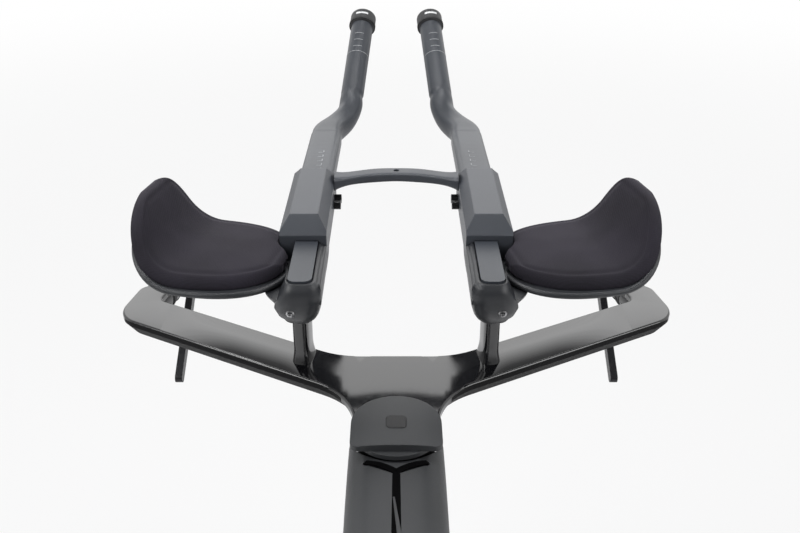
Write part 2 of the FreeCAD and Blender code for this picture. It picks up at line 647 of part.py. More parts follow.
def make_fork():
    crown = loft([section(CROWN - AXIS_AHEAD * 10 + AXIS * 1.5, AXIS_AHEAD, LEFT, 88,
                          S.head_tube_width + 2, 2.2, 0.12),
                  section(CROWN - AXIS * 14 - AXIS_AHEAD * 6, AXIS_AHEAD, LEFT, 80, 84, 2.3, 0.1),
                  section(CROWN - AXIS * 42 - AXIS_AHEAD * 2, AXIS_AHEAD, LEFT, 66, 98, 2.6, 0.1)])
    arch = feature("fork_arch", crown.cut(wheel_room(FRONT_AXLE, 21)))
    seat = cylinder("crown_seat", "crown_seat_radius", "bearing_height + 1.7", CROWN, AXIS)
    length = (on_axis(BAR_HEIGHT - 8) - CROWN).Length
    steerer = cylinder("steerer", "steerer_radius", f"{length}", CROWN, AXIS)
    publish(fuse("fork_crown", arch, seat, steerer))
    blades = []
    for _, sign in SIDES:
        rows = ((CROWN - AXIS * 42.1 - AXIS_AHEAD * 2, 35, 65, 26),
                (CROWN - AXIS * 120 + AXIS_AHEAD * 6, 43, 52, 15),
                (FRONT_AXLE + AXIS * 90 - AXIS_AHEAD * 8, S.blade_spread, 42, 11),
                (FRONT_AXLE + AXIS * 20.2, S.blade_spread, 31, 11))
        blades.append(loft([section(point + LEFT * (sign * left), AXIS_AHEAD, LEFT, chord, thick, 2.2, 0.15)
                            for point, left, chord, thick in rows]))
        blades.append(fork_end(sign))
    publish(feature("fork_blades", Part.makeCompound(blades)))
    for name, axle, length, reach in (
            ("front", FRONT_AXLE, "front_hub_length + 25.8", S.front_hub_length / 2 + 12.8),
            ("rear", REAR_AXLE, "rear_hub_length + 17", S.rear_hub_length / 2 + 8.4)):
        shaft = cylinder(f"{name}_axle_shaft", "axle_radius", length, axle - LEFT * reach, LEFT)
        head = cylinder(f"{name}_axle_head", "axle_radius + 4", "4", axle + LEFT * (reach + 0.1), LEFT)
        key = cylinder(f"{name}_axle_key", "axle_radius / 2", "8", axle + LEFT * (reach - 2), LEFT)
        publish(cut(f"{name}_thru_axle", fuse(f"{name}_axle_solid", shaft, head), key))


def make_calipers():
    for name, axle, place, radius, corner, size in (
            ("front", FRONT_AXLE, S.front_rotor_place, S.front_rotor_radius,
             Vector(-78, -10, 24), Vector(33.6, 22, 56)),
            ("rear", REAR_AXLE, S.rear_rotor_place, S.rear_rotor_radius,
             Vector(36, -12, 10.4), Vector(52, 20, 40))):
        start = axle + LEFT * place + corner
        block = Part.makeBox(size.x, size.y, size.z, start)
        block = block.makeFillet(5, [edge for edge in block.Edges if abs(edge.BoundBox.YLength - size.y) < 1])
        if name == "front":
            block = block.fuse(Part.makeBox(38, 8.5, 30, axle + Vector(-50, S.blade_spread - 14.3, 30)))
        turn = Part.makeCylinder(radius + 1.5, 3.4, axle + LEFT * (place - 1.7), LEFT)
        pads = []
        middle = start + size * 0.5
        aim = (middle - axle - LEFT * place).normalize()
        spot = axle + aim * (radius - 11)
        for sign in (1, -1):
            base = Vector(spot.x, place + sign * 1.2, spot.z)
            pads.append(Part.makeCylinder(9, 3, base, LEFT * sign))
        body = block.cut([turn] + pads)
        publish(feature(f"{name}_caliper", Part.makeCompound([body] + pads)))


# Saddle and post

def post_shape(extra, low, high):
    start, end = on_seat_line(low), on_seat_line(high)
    depth, width = S.seatpost_depth + 2 * extra, S.seatpost_width + 2 * extra
    outline = section(start, SEAT_AHEAD, LEFT, depth, width, 2.3, 0.12)
    return Part.Face(outline).extrude(end - start)


SADDLE_ROWS = ((-122, 0.5), (-112, 0.82), (-92, 1.0), (-50, 0.86), (0, 0.56), (55, 0.4), (105, 0.36),
               (122, 0.3), (130, 0.2))


def saddle_loft(width, tall, middle, extra):
    parts = []
    seat = on_seat_line(SADDLE_TOP)
    for ahead, share in SADDLE_ROWS:
        reach = ahead + math.copysign(extra, ahead) if abs(ahead) > 121 else ahead
        centre = Vector(seat.x + reach, 0, SADDLE_TOP - middle)
        parts.append(section(centre, UP, LEFT, tall + 2 * extra, width * share + 2 * extra, 2.6))
    return loft(parts)


def make_saddle():
    clamp_top = SADDLE_TOP - 40
    post = post_shape(0, on_seat_line(TOP_TUBE_TOP - 180).z, clamp_top - 20)
    flat = Part.makeBox(300, 100, 100, on_seat_line(clamp_top) + Vector(-150, -50, -22))
    publish(feature("seatpost", post.cut(flat)))
    cushion = saddle_loft(136, 19, 9.5, 0)
    seat = on_seat_line(SADDLE_TOP)
    groove = [Part.makeCylinder(5, 130, seat + Vector(-70, 0, 1), AHEAD)]
    groove += [Part.makeSphere(5, seat + Vector(-70, 0, 1)), Part.makeSphere(5, seat + Vector(60, 0, 1))]
    publish(feature("saddle_pad", cushion.cut(united(groove))))
    shell = saddle_loft(134, 14, 17, 0).cut(saddle_loft(136, 19, 9.5, 0.3))
    publish(feature("saddle_shell", shell))
    rails = []
    for _, sign in SIDES:
        points = [seat + Vector(-100, sign * 26, -17), seat + Vector(-72, sign * 22, -43.5),
                  seat + Vector(36, sign * 22, -43.5), seat + Vector(96, sign * 10, -17)]
        rails.append(tube_along(points, 3.5).cut(saddle_loft(134, 14, 17, 0.05)))
    rails = [max(rail.Solids, key=lambda solid: solid.Volume) for rail in rails]
    publish(feature("saddle_rails", Part.makeCompound(rails)))
    block = Part.makeBox(46, 60, 22, on_seat_line(clamp_top) + Vector(-21, -30, -21.8))
    block = block.makeFillet(4, block.Edges)
    holes = [rod(seat + Vector(-90, sign * 22, -43.5), seat + Vector(60, sign * 22, -43.5), 3.52)
             for _, sign in SIDES]
    publish(feature("saddle_clamp", block.cut(holes)))


# Base bar

def rounded_wire(corners, above):
    """Closed outline through corners of ahead, left and rounding, at a height above the bar."""
    spots = [cockpit(ahead, left, above) for ahead, left, _ in corners]
    arcs = []
    for k, (here, (_, _, radius)) in enumerate(zip(spots, corners)):
        back = (spots[k - 1] - here).normalize()
        onward = (spots[(k + 1) % len(spots)] - here).normalize()
        half_angle = back.getAngle(onward) / 2
        reach = radius / math.tan(half_angle)
        middle = here + (back + onward).normalize() * (radius / math.sin(half_angle) - radius)
        arcs.append((here + back * reach, middle, here + onward * reach))
    edges = []
    for k, (start, middle, stop) in enumerate(arcs):
        edges.append(Part.Arc(start, middle, stop).toShape())
        edges.append(Part.LineSegment(stop, arcs[(k + 1) % len(arcs)][0]).toShape())
    return Part.Wire(edges)


def mirrored(corners):
    """Corners of a left half followed by those of its mirror image."""
    return corners + [(ahead, -left, radius) for ahead, left, radius in reversed(corners)]


def elbow_corner():
    """Where the rear edge of the left wing would meet the outside of its horn."""
    sweep = math.radians(S.bar_sweep)
    left = S.elbow_spacing / 2
    return math.tan(sweep) * (left - S.sweep_start) - S.wing_chord / math.cos(sweep), left


def bar_corners(inset=0.0):
    """Corners of the bar seen from above, moved into the bar by an inset."""
    sweep, toe = math.radians(S.bar_sweep), math.radians(S.horn_toe_in)
    slope, lean = math.tan(sweep), math.tan(toe)
    elbow_ahead, elbow_left = elbow_corner()
    front_back, rear_back = inset / math.cos(sweep), (S.wing_chord - inset) / math.cos(sweep)
    side = S.stem_radius - S.cap_overhang - inset

    def beside_horn(ahead, inwards):
        return elbow_left - inwards / math.cos(toe) - lean * (ahead - elbow_ahead)

    def elbow(back, inwards):
        foot = beside_horn(-slope * S.sweep_start - back, inwards)
        left = foot / (1 + lean * slope)
        return slope * (left - S.sweep_start) - back, left

    tip_ahead = elbow_ahead + S.elbow_length - inset
    tip_round = S.horn_width / 2 - inset - 0.5
    bow_left = S.sweep_start + (front_back - inset) / slope
    rear_ahead = slope * (side - S.sweep_start) - rear_back
    stem_rear, stem_round = -S.bar_reach - 0.79 * side, 0.71 * side
    flare_room = (rear_ahead - stem_rear - stem_round) / math.tan(math.pi / 4 - sweep / 2)
    return mirrored([
        (-inset, bow_left, S.wing_bow + inset),
        (*elbow(front_back, S.horn_width - inset), S.elbow_inside + inset),
        (tip_ahead, beside_horn(tip_ahead, S.horn_width - inset), tip_round),
        (tip_ahead, beside_horn(tip_ahead, inset), tip_round),
        (*elbow(rear_back, inset), S.elbow_radius - inset),
        (rear_ahead, side, min(S.stem_flare + inset, 0.98 * flare_room)),
        (stem_rear, side, stem_round)])


def horn_end():
    """Centre and direction of the left horn's end."""
    toe = math.radians(S.horn_toe_in)
    aim = Vector(math.cos(toe), -math.sin(toe), 0)
    inwards = Vector(-math.sin(toe), -math.cos(toe), 0)
    corner = cockpit(*elbow_corner(), -0.5 - S.horn_height / 2)
    return corner + aim * S.horn_length + inwards * (S.horn_width / 2), aim


def mirror(shape, sign):
    return shape if sign > 0 else shape.mirror(Vector(), LEFT)


def horn_shape():
    """Left horn, which grows out of the wing and is open at its end for the lever."""
    end, aim = horn_end()
    across = aim.cross(UP)
    start = end - aim * (S.horn_length - S.elbow_radius)
    length = (end - start).Length
    parts = []
    for reach, share in ((0, 0.3), (0.06, 0.66), (0.16, 0.88), (0.3, 1), (0.65, 1), (1, 1)):
        centre = start + aim * (length * reach)
        parts.append(section(centre, across, UP, S.horn_width * share, S.horn_height * share, 2.3))
    return loft(parts).cut(Part.makeCylinder(8.05, 40, end - aim * 24, aim))


def wing_shape():
    """Flat blade of the bar with a thin edge, over a belly that tapers inwards."""
    blade = Part.Face(rounded_wire(bar_corners(), 0)).extrude(UP * -S.wing_edge)
    top = cockpit(0, 0).z
    rim = [edge for edge in blade.Edges if edge.BoundBox.ZMin > top - 0.01]
    blade = blade.makeFillet(S.wing_edge * 0.36, rim)
    belly = Part.makeLoft([rounded_wire(bar_corners(), -S.wing_edge),
                           rounded_wire(bar_corners(S.belly_inset), -S.wing_thickness)], True, True)
    return blade.fuse(belly)


def cap_outline(grow, base, thickness):
    """Prism of the stem cap's outline, grown on all sides."""
    half, rear = S.stem_radius + grow, -S.cap_reach - grow
    front = S.cap_length - S.cap_reach + grow
    side = front - S.cap_length * 0.56
    corner = S.cap_corner + grow
    bend = corner * (1 - math.sqrt(0.5))

    def spot(ahead, left):
        return cockpit(ahead, left, base)

    edges = [Part.LineSegment(spot(rear, corner - half), spot(rear, half - corner)).toShape(),
             Part.Arc(spot(rear, half - corner), spot(rear + bend, half - bend),
                      spot(rear + corner, half)).toShape(),
             Part.LineSegment(spot(rear + corner, half), spot(side, half)).toShape(),
             Part.Arc(spot(side, half), spot(front, 0), spot(side, -half)).toShape(),
             Part.LineSegment(spot(side, -half), spot(rear + corner, -half)).toShape(),
             Part.Arc(spot(rear + corner, -half), spot(rear + bend, bend - half),
                      spot(rear, corner - half)).toShape()]
    return Part.Face(Part.Wire(edges)).extrude(UP * thickness)


def make_bar():
    cap = cap_outline(0, -S.cap_seat, S.cap_thickness + S.cap_seat)
    crown_radius = 240
    dome = Part.makeSphere(crown_radius, cockpit(-S.cap_reach * 0.8, 0, S.cap_thickness - crown_radius))
    cap = cap.common(dome)
    plug_half, plug_height = S.cap_plug / 2, 4
    plug_spot = cockpit(S.cap_length * 0.42 - S.cap_reach, 0, S.cap_thickness - plug_height + 0.5)
    plug = Part.makeBox(S.cap_plug, S.cap_plug, plug_height, plug_spot - Vector(plug_half, plug_half, 0))
    plug = plug.makeFillet(3, [edge for edge in plug.Edges if edge.BoundBox.ZLength > plug_height / 2])
    publish(feature("stem_cap", cap.cut(plug)))
    publish(feature("stem_cap_plug", plug.makeFillet(0.8, [edge for edge in plug.Edges
                                                          if edge.BoundBox.ZMin > plug_spot.z + 3.9])))
    boss = Part.makeCylinder(S.stem_radius - S.cap_overhang, S.stem_stack + 25, on_axis(HEAD_TOP + 1.2), AXIS)
    boss = boss.cut(Part.makeBox(300, 300, 100, cockpit(-250, -150, -S.cap_seat - 0.1)))
    solid = united([wing_shape(), boss] + [mirror(horn_shape(), sign) for _, sign in SIDES])
    solid = solid.cut(cap_outline(S.fit_gap, -S.cap_seat - 0.1, 20))
    bore = cylinder("stem_bore", "steerer_radius + running_gap", "stem_stack + 80",
                    on_axis(HEAD_TOP - 40), AXIS)
    return publish(cut("base_bar", feature("bar_solid", solid), bore))


def make_levers():
    end, aim = horn_end()
    across = aim.cross(UP)
    pivot = Vector(end.x + 12, 0, end.z - 15)
    half = S.lever_width / 2
    holders = []
    for side, sign in SIDES:
        nose = loft([section(end + aim * reach, across, UP, S.horn_width * share, S.horn_height * share, 2.3)
                     for reach, share in ((0.3, 1), (8, 0.98), (14, 0.86), (18, 0.62), (19.5, 0.3))])
        plug = Part.makeCylinder(8, 20, end - aim * 19, aim)
        ear_left = S.lever_place + half + 4
        ear = link(pivot + LEFT * ear_left, 7, Vector(pivot.x, ear_left, end.z - 2), 6.8, S.lever_width + 8)
        slot = Part.makeBox(40, S.lever_width + 1, 46, pivot + Vector(-13, S.lever_place - half - 0.5, -40))
        pin = Part.makeCylinder(S.lever_pin_radius, S.lever_width + 6,
                                pivot + LEFT * (S.lever_place - half - 3), LEFT)
        holder = largest(united([nose, plug, ear]).cut(slot)).fuse(pin)
        holders.append(mirror(holder, sign))
        start = pivot + LEFT * (S.lever_place + half)
        middle, tip = start + Vector(-50, 0, -30), start + Vector(-88, 0, -52)
        blade = link(start, 4.6, middle, 4.5, S.lever_width).fuse(link(middle, 4.5, tip, 4.2, S.lever_width))
        hole = Part.makeCylinder(S.lever_pin_radius + S.running_gap, 40, start - LEFT * 20, LEFT)
        blade = blade.removeSplitter().cut(hole)
        publish(feature(f"brake_lever_{side}", mirror(blade, sign)))
    publish(feature("lever_bodies", Part.makeCompound(holders)))


# Arm rests and extensions

REST_FLAT, REST_BEND, REST_LEAN, REST_RUN = 62.0, 38.0, math.radians(62), 117.0


def rest_rows(count=16):
    """Rows of run along the rest with the rear and front end of the rest there."""
    rows = []
    for k in range(count + 1):
        share = 0.5 - 0.49 * math.cos(math.pi * k / count)
        half = 47 * (1 - abs(2 * share - 1) ** 2.6) ** (1 / 2.6)
        middle = 17 * share ** 6 - 1
        rows.append((REST_RUN * share, middle - half, middle + half))
    return rows


def rest_frame():
    """Centre and directions of the left arm rest."""
    yaw = math.radians(S.rest_toe_in)
    centre = cockpit(-17, S.arm_spacing / 2 + 48.5, S.rest_height + 0.3)
    return centre, Vector(math.cos(yaw), -math.sin(yaw), 0), Vector(math.sin(yaw), math.cos(yaw), 0)


def rest_profile(run):
    """Sideways place, height and lean of the rest's underside at a length along it."""
    start = -44.0
    if run <= REST_FLAT:
        return start + run, 0.0, 0.0
    bend = min((run - REST_FLAT) / REST_BEND, REST_LEAN)
    beyond = max(0.0, run - REST_FLAT - REST_BEND * REST_LEAN)
    side = start + REST_FLAT + REST_BEND * math.sin(bend) + beyond * math.cos(REST_LEAN)
    return side, REST_BEND * (1 - math.cos(bend)) + beyond * math.sin(REST_LEAN), bend


def rest_layer(lift, thickness, shrink, crown):
    """Loft one layer of the left arm rest, lifted off the underside."""
    centre, ahead, outward = rest_frame()
    parts = []
    for run, rear, front in rest_rows():
        side, height, lean = rest_profile(run)
        normal = outward * -math.sin(lean) + UP * math.cos(lean)
        edge = min(1, 0.5 + 4 * min(run, REST_RUN - run) / REST_RUN)
        thick = (thickness - crown) * edge
        middle = centre + outward * side + UP * height + normal * (lift + thick / 2)
        middle += ahead * ((front + rear) / 2)
        parts.append(slab_section(middle, ahead, normal, front - rear - 2 * shrink, thick, crown * edge))
    return loft(parts)


def extension_station(run):
    """Centre of the left extension at a length along it from the clamp's front."""
    bend_start, bend_end = 112.0, 166.0
    share = min(max((run - bend_start) / (bend_end - bend_start), 0), 1)
    ease = share * share * (3 - 2 * share)
    lift = max(0.0, (share - 0.3) / 0.7)
    beyond = max(0.0, run - bend_end)
    slope = math.tan(math.radians(S.grip_rise))
    left = S.arm_spacing / 2 - 0.01 * run - S.bend_inset * ease - beyond * 0.09
    above = S.rest_height + 8 + slope * (0.35 * (bend_end - bend_start) * lift * lift + beyond)
    return cockpit(96 + min(run, bend_end) + beyond, left, above)


def extension_end():
    """Middle and direction of the left extension's end."""
    run = 166 + S.grip_length * math.cos(math.radians(S.grip_rise))
    aim = (extension_station(run) - extension_station(run - 5)).normalize()
    return extension_station(run), aim


def make_extension(side, sign):
    grip_run = 166 + S.grip_length * math.cos(math.radians(S.grip_rise))
    stretches = []
    for runs in ((0, 50, 100), [100 + 7.6 * k for k in range(11)], (176, (176 + grip_run) / 2, grip_run)):
        parts = []
        for run in runs:
            centre = extension_station(run)
            aim = (extension_station(run + 1) - extension_station(max(run - 1, 0))).normalize()
            across = aim.cross(UP).normalize() * -1
            share = min(max((run - 100) / 54, 0), 1)
            width = S.rail_width + (2 * S.grip_radius - S.rail_width) * share
            height = S.rail_height + (2 * S.grip_radius - S.rail_height) * share
            parts.append(section(centre, across, aim.cross(across), width, height, 4.5 - 2.5 * share))
        stretches.append(loft(parts))
    end, aim = extension_end()
    stretches[2] = stretches[2].cut(Part.makeCylinder(S.grip_radius - 2, 30, end - aim * 24, aim))
    tail_left = S.arm_spacing / 2 - 10
    tail = Part.makeBox(163, S.tail_width, S.tail_height, cockpit(-66, tail_left, S.rest_height + 0.3))
    tail = tail.makeFillet(5, [edge for edge in tail.Edges if edge.BoundBox.ZLength > 5
                               and edge.BoundBox.XMax < cockpit(0, 0).x])
    publish(feature(f"extension_{side}", mirror(united([tail] + stretches), sign)))
    radius, length = S.end_cap_radius, S.end_cap_length
    cap = Part.makeCylinder(radius, length, end + aim * 0.3, aim)
    cap = cap.makeFillet(2.5, [edge for edge in cap.Edges if edge.Closed])
    stub = Part.makeCylinder(S.grip_radius - 2.05, 18, end - aim * 16, aim)
    face = end + aim * (length + 0.3)
    well = Part.makeCylinder(S.button_radius + S.running_gap, 10, face - aim * 6, aim)
    publish(feature(f"end_cap_{side}", mirror(united([cap, stub]).cut(well), sign)))
    button = Part.makeCylinder(S.button_radius, 6.4, face - aim * 3.4, aim)
    button = button.makeFillet(1, [edge for edge in button.Edges if edge.Closed
                                   and (edge.CenterOfMass - face).dot(aim) > 2])
    publish(feature(f"shift_button_{side}", mirror(button, sign)))


def make_clamp(side, sign):
    place = cockpit(-11, sign * (S.arm_spacing / 2), S.rest_height + 0.3)
    body = make_body(f"extension_clamp_{side}", FreeCAD.Placement(place, Rotation()))
    outline = make_sketch(body, "YZ_Plane", f"clamp_outline_{side}")
    half = "clamp_width / 2"
    draw_outline(outline, [(f"-{half}", "0"), (half, "0"), (half, "clamp_height - 8"),
                           (f"{half} - 6", "clamp_height"), (f"6 - {half}", "clamp_height"),
                           (f"-{half}", "clamp_height - 8")])
    pad(body, outline, "clamp_length")
    channel = make_sketch(body, "YZ_Plane", f"clamp_channel_{side}")
    inner, outer = f"{-sign} * (10 + fit_gap)", f"{sign} * (tail_width - 10 + fit_gap)"
    draw_outline(channel, [(inner, "-1"), (outer, "-1"), (outer, "tail_height + fit_gap"),
                           (inner, "tail_height + fit_gap")])
    pocket(body, channel, f"clamp_channel_cut_{side}")
    ramp_sketch = make_sketch(body, "XZ_Plane", f"clamp_ramp_{side}")
    draw_outline(ramp_sketch, [("-1", "tail_height + 3"), ("10", "clamp_height - 2"),
                               ("14", "clamp_height + 1"), ("-1", "clamp_height + 1")])
    pocket(body, ramp_sketch, f"clamp_ramp_cut_{side}")
    front = make_sketch(body, "XZ_Plane", f"clamp_front_{side}")
    draw_outline(front, [("clamp_length + 1", "tail_height + 4"), ("clamp_length + 1", "clamp_height + 1"),
                         ("clamp_length - 12", "clamp_height + 1"), ("clamp_length - 8", "clamp_height - 3")])
    pocket(body, front, f"clamp_front_cut_{side}")
    return publish(body)


def clamp_room():
    """Room of the left clamp and extension beside the arm rest."""
    inside, outside = S.arm_spacing / 2 + 5.4, S.arm_spacing / 2 + S.clamp_width / 2 + 0.4
    low = S.rest_height - 2
    corners = [cockpit(ahead, left, low) for ahead, left in (
        (-90, 20), (110, 20), (110, outside), (-11.6, outside), (-26, inside), (-90, inside))]
    return Part.Face(Part.makePolygon(corners + corners[:1])).extrude(UP * 60)


def make_arm_units(bar):
    bolts = []
    DOC.recompute()
    bar_solid = bar.Shape
    for side, sign in SIDES:
        toe = math.radians(8)
        aim = Vector(math.cos(toe), -math.sin(toe), 0)
        across = Vector(math.sin(toe), math.cos(toe), 0)
        column = []
        for above, chord, width in ((-4, 1.24, 1.34), (2, 1.16, 1.22), (8, 1.03, 1.05), (16, 1, 1),
                                    (30, 1, 1), (50, 1, 1), (S.rest_height - 12, 1, 1)):
            centre = cockpit(-2, S.riser_spacing / 2, above)
            column.append(section(centre, aim, across, S.riser_chord * chord, S.riser_width * width, 3.4))
        riser = mirror(loft(column), sign).cut(bar_solid)
        riser = max(riser.Solids, key=lambda solid: solid.BoundBox.ZMax)
        publish(feature(f"riser_{side}", riser))
        lobe = []
        for above, rear, front, inner, outer in (
                (-38, -28, 22, -1.5, 10.5), (-34, -37, 26, -5.5, 15), (-24, -44, 31, -8.5, 18.5),
                (-10, -55, 38, -13.5, 23), (0, -66, 46, -15.5, 24.5)):
            left = S.arm_spacing / 2 + (inner + outer) / 2
            middle = cockpit((rear + front) / 2, left, S.rest_height + above)
            lobe.append(section(middle, AHEAD, LEFT, front - rear, outer - inner, 3))
        inner_wall = S.arm_spacing / 2 - S.clamp_width / 2
        wall = Part.makeBox(54.5, 5, 14, cockpit(-66, inner_wall, S.rest_height - 3))
        low = wall.BoundBox.ZMin + 1
        wall = wall.makeFillet(2, [edge for edge in wall.Edges if edge.BoundBox.ZMin > low])
        base = mirror(united([loft(lobe), wall]), sign).cut(riser)
        tilt_head = cockpit(-38, sign * (S.arm_spacing / 2 + 6), S.rest_height - 23)
        base = base.cut(Part.makeCylinder(2.5, 40, tilt_head, AHEAD))
        base = base.cut(Part.makeCylinder(4.2, 30, tilt_head, AHEAD * -1))
        key = Part.makeCylinder(2, 2, tilt_head - AHEAD * 1.2, AHEAD * -1)
        tilt = Part.makeCylinder(4, 3, tilt_head, AHEAD * -1).cut(key)
        bolts.append(tilt.fuse(Part.makeCylinder(2.4, 14, tilt_head, AHEAD)).removeSplitter())
        publish(feature(f"armrest_base_{side}", largest(base)))
        room = clamp_room()
        cup = rest_layer(0, S.cup_thickness, 0, 0)
        cushion = rest_layer(S.cup_thickness + S.fit_gap, S.pad_thickness, 0.6, S.pad_thickness * 0.5)
        publish(feature(f"arm_cup_{side}", mirror(largest(cup.cut(room)), sign)))
        publish(feature(f"arm_pad_{side}", mirror(largest(cushion.cut(room)), sign)))
        make_clamp(side, sign)
        make_extension(side, sign)
        for ahead in (64, 75):
            head = cockpit(ahead, sign * (inner_wall - 0.1), S.rest_height + 6)
            key = Part.makeCylinder(1.6, 3, head - LEFT * (sign * 3), LEFT * -sign)
            bolts.append(Part.makeCylinder(3.4, 5, head, LEFT * -sign).cut(key))
    publish(feature("cockpit_bolts", Part.makeCompound(bolts)))


def make_bridge():
    end_left = S.arm_spacing / 2 - S.clamp_width / 2 - 0.1
    rows = ((-1, 18, 11), (-0.86, 15, 8), (-0.6, 14, 7), (0, 14, 7), (0.6, 14, 7), (0.86, 15, 8), (1, 18, 11))
    parts = []
    for share, depth, height in rows:
        ahead = 79 + 9 * (1 - share * share)
        centre = cockpit(ahead, end_left * share, S.rest_height + 18.5 + 1.5 * (1 - share * share))
        parts.append(section(centre, AHEAD, UP, S.bridge_depth * depth / 14, S.bridge_height * height / 7, 4))
    bar = feature("bridge_bar", loft(parts))
    hole = cylinder("bridge_bore", "bridge_hole", "30", cockpit(88, 0, S.rest_height), UP)
    publish(cut("extension_bridge", bar, hole))


# Drive

GUIDE = REAR_AXLE + Vector(8, 0, -82)
TENSION = GUIDE + Vector(26, 0, -60)
COG = min(range(len(COG_TEETH)), key=lambda k: abs(COG_TEETH[k] - S.cog_teeth))


def pitch_radius(teeth):
    return teeth * S.chain_pitch / math.tau


def chain_runs():
    """Straight runs of the chain between its four wheels, in the order of travel."""
    wheels = ((BRACKET, pitch_radius(S.ring_teeth), -1), (TENSION, pitch_radius(S.pulley_teeth), -1),
              (GUIDE, pitch_radius(S.pulley_teeth), 1), (REAR_AXLE, pitch_radius(COG_TEETH[COG]), -1))
    runs = []
    for k, (centre, radius, turn) in enumerate(wheels):
        onward, next_radius, next_turn = wheels[(k + 1) % 4]
        span = onward - centre
        lean = math.asin((turn * radius - next_turn * next_radius) / span.Length)
        angle = math.atan2(span.z, span.x) + lean
        right = Vector(math.sin(angle), 0, -math.cos(angle))
        runs.append((centre + right * (turn * radius), onward + right * (next_turn * next_radius), right))
    return wheels, runs


def chain_loop(offset):
    """Closed line beside the chain's path, offset to the right of its travel."""
    wheels, runs = chain_runs()
    edges = []
    for k, (centre, radius, turn) in enumerate(wheels):
        arrive, leave = runs[k - 1], runs[k]
        start = arrive[1] + arrive[2] * offset
        end = leave[0] + leave[2] * offset
        reach = radius + turn * offset
        first = math.atan2(start.z - centre.z, start.x - centre.x)
        last = math.atan2(end.z - centre.z, end.x - centre.x)
        sweep = (last - first) * turn % math.tau
        middle = first + turn * sweep / 2
        through = centre + Vector(math.cos(middle), 0, math.sin(middle)) * reach
        edges.append(Part.Arc(start, through, end).toShape())
        edges.append(Part.LineSegment(end, leave[1] + leave[2] * offset).toShape())
    return Part.Wire(edges)


def gap_phases():
    """Angles at which each chain wheel has a gap, so that the chain's rollers fall into the gaps."""
    wheels, runs = chain_runs()
    phases, run = [], 0.0
    for k, (centre, radius, turn) in enumerate(wheels):
        arrive, leave = runs[k - 1][1], runs[k][0]
        first = math.atan2(arrive.z - centre.z, arrive.x - centre.x)
        last = math.atan2(leave.z - centre.z, leave.x - centre.x)
        phases.append(first + turn * ((-run) % S.chain_pitch) / radius)
        run += ((last - first) * turn % math.tau) * radius + (runs[k][1] - runs[k][0]).Length
    return phases


def make_chain():
    outer, inner = chain_loop(3.6), chain_loop(-3.6)
    if Part.Face(outer).Area < Part.Face(inner).Area:
        outer, inner = inner, outer
    face = Part.Face(outer).cut(Part.Face(inner))
    solids = []
    for start in (-S.chain_line - 2.6, -S.chain_line + 1.6):
        band = face.extrude(LEFT)
        band.translate(LEFT * start)
        solids.append(band)
    _, runs = chain_runs()
    for start, end, _ in (runs[0], runs[3]):
        count = int((end - start).Length / S.chain_pitch)
        for k in range(3, count - 2):
            point = start + (end - start) * (k / count)
            base = Vector(point.x, -S.chain_line - 1.6, point.z)
            solids.append(Part.makeCylinder(3.2, 3.2, base, LEFT))
    publish(feature("chain", Part.makeCompound(solids)))


def make_drive():
    line = LEFT * -S.chain_line
    phases = gap_phases()
    cogs = []
    for k, teeth in enumerate(COG_TEETH):
        place = REAR_AXLE + line + LEFT * ((k - COG) * S.cog_pitch)
        disc = toothed_disc(teeth, place, 1.6, phases[3])
        bore = Part.makeCylinder(S.freehub_radius + S.running_gap, 4, place - LEFT * 2, LEFT)
        cogs.append(disc.cut(bore))
        if k:
            cogs.append(ring(S.freehub_radius + S.running_gap, S.freehub_radius + 3,
                             place.y + 0.8 - S.cog_pitch, place.y - 0.8, REAR_AXLE))
    publish(feature("cassette", Part.makeCompound(cogs)))
    teeth = toothed_disc(int(S.ring_teeth), BRACKET + line, S.tooth_thickness, phases[0])
    radius = pitch_radius(S.ring_teeth)
    web = ring(34, radius - 7, -S.chain_line - 2.6, -S.chain_line + 1.1, BRACKET)
    bore = Part.makeCylinder(34, 20, BRACKET + line - LEFT * 10, LEFT)
    windows = []
    for k in range(5):
        angle = math.tau * (k + 0.5) / 5
        spot = BRACKET + line + Vector(math.cos(angle), 0, math.sin(angle)) * 78 - LEFT * 10
        windows.append(Part.makeCylinder(16, 20, spot, LEFT))
    publish(feature("chainring", teeth.fuse(web).removeSplitter().cut([bore] + windows)))
    make_cranks()
    make_derailleur(phases)
    make_chain()


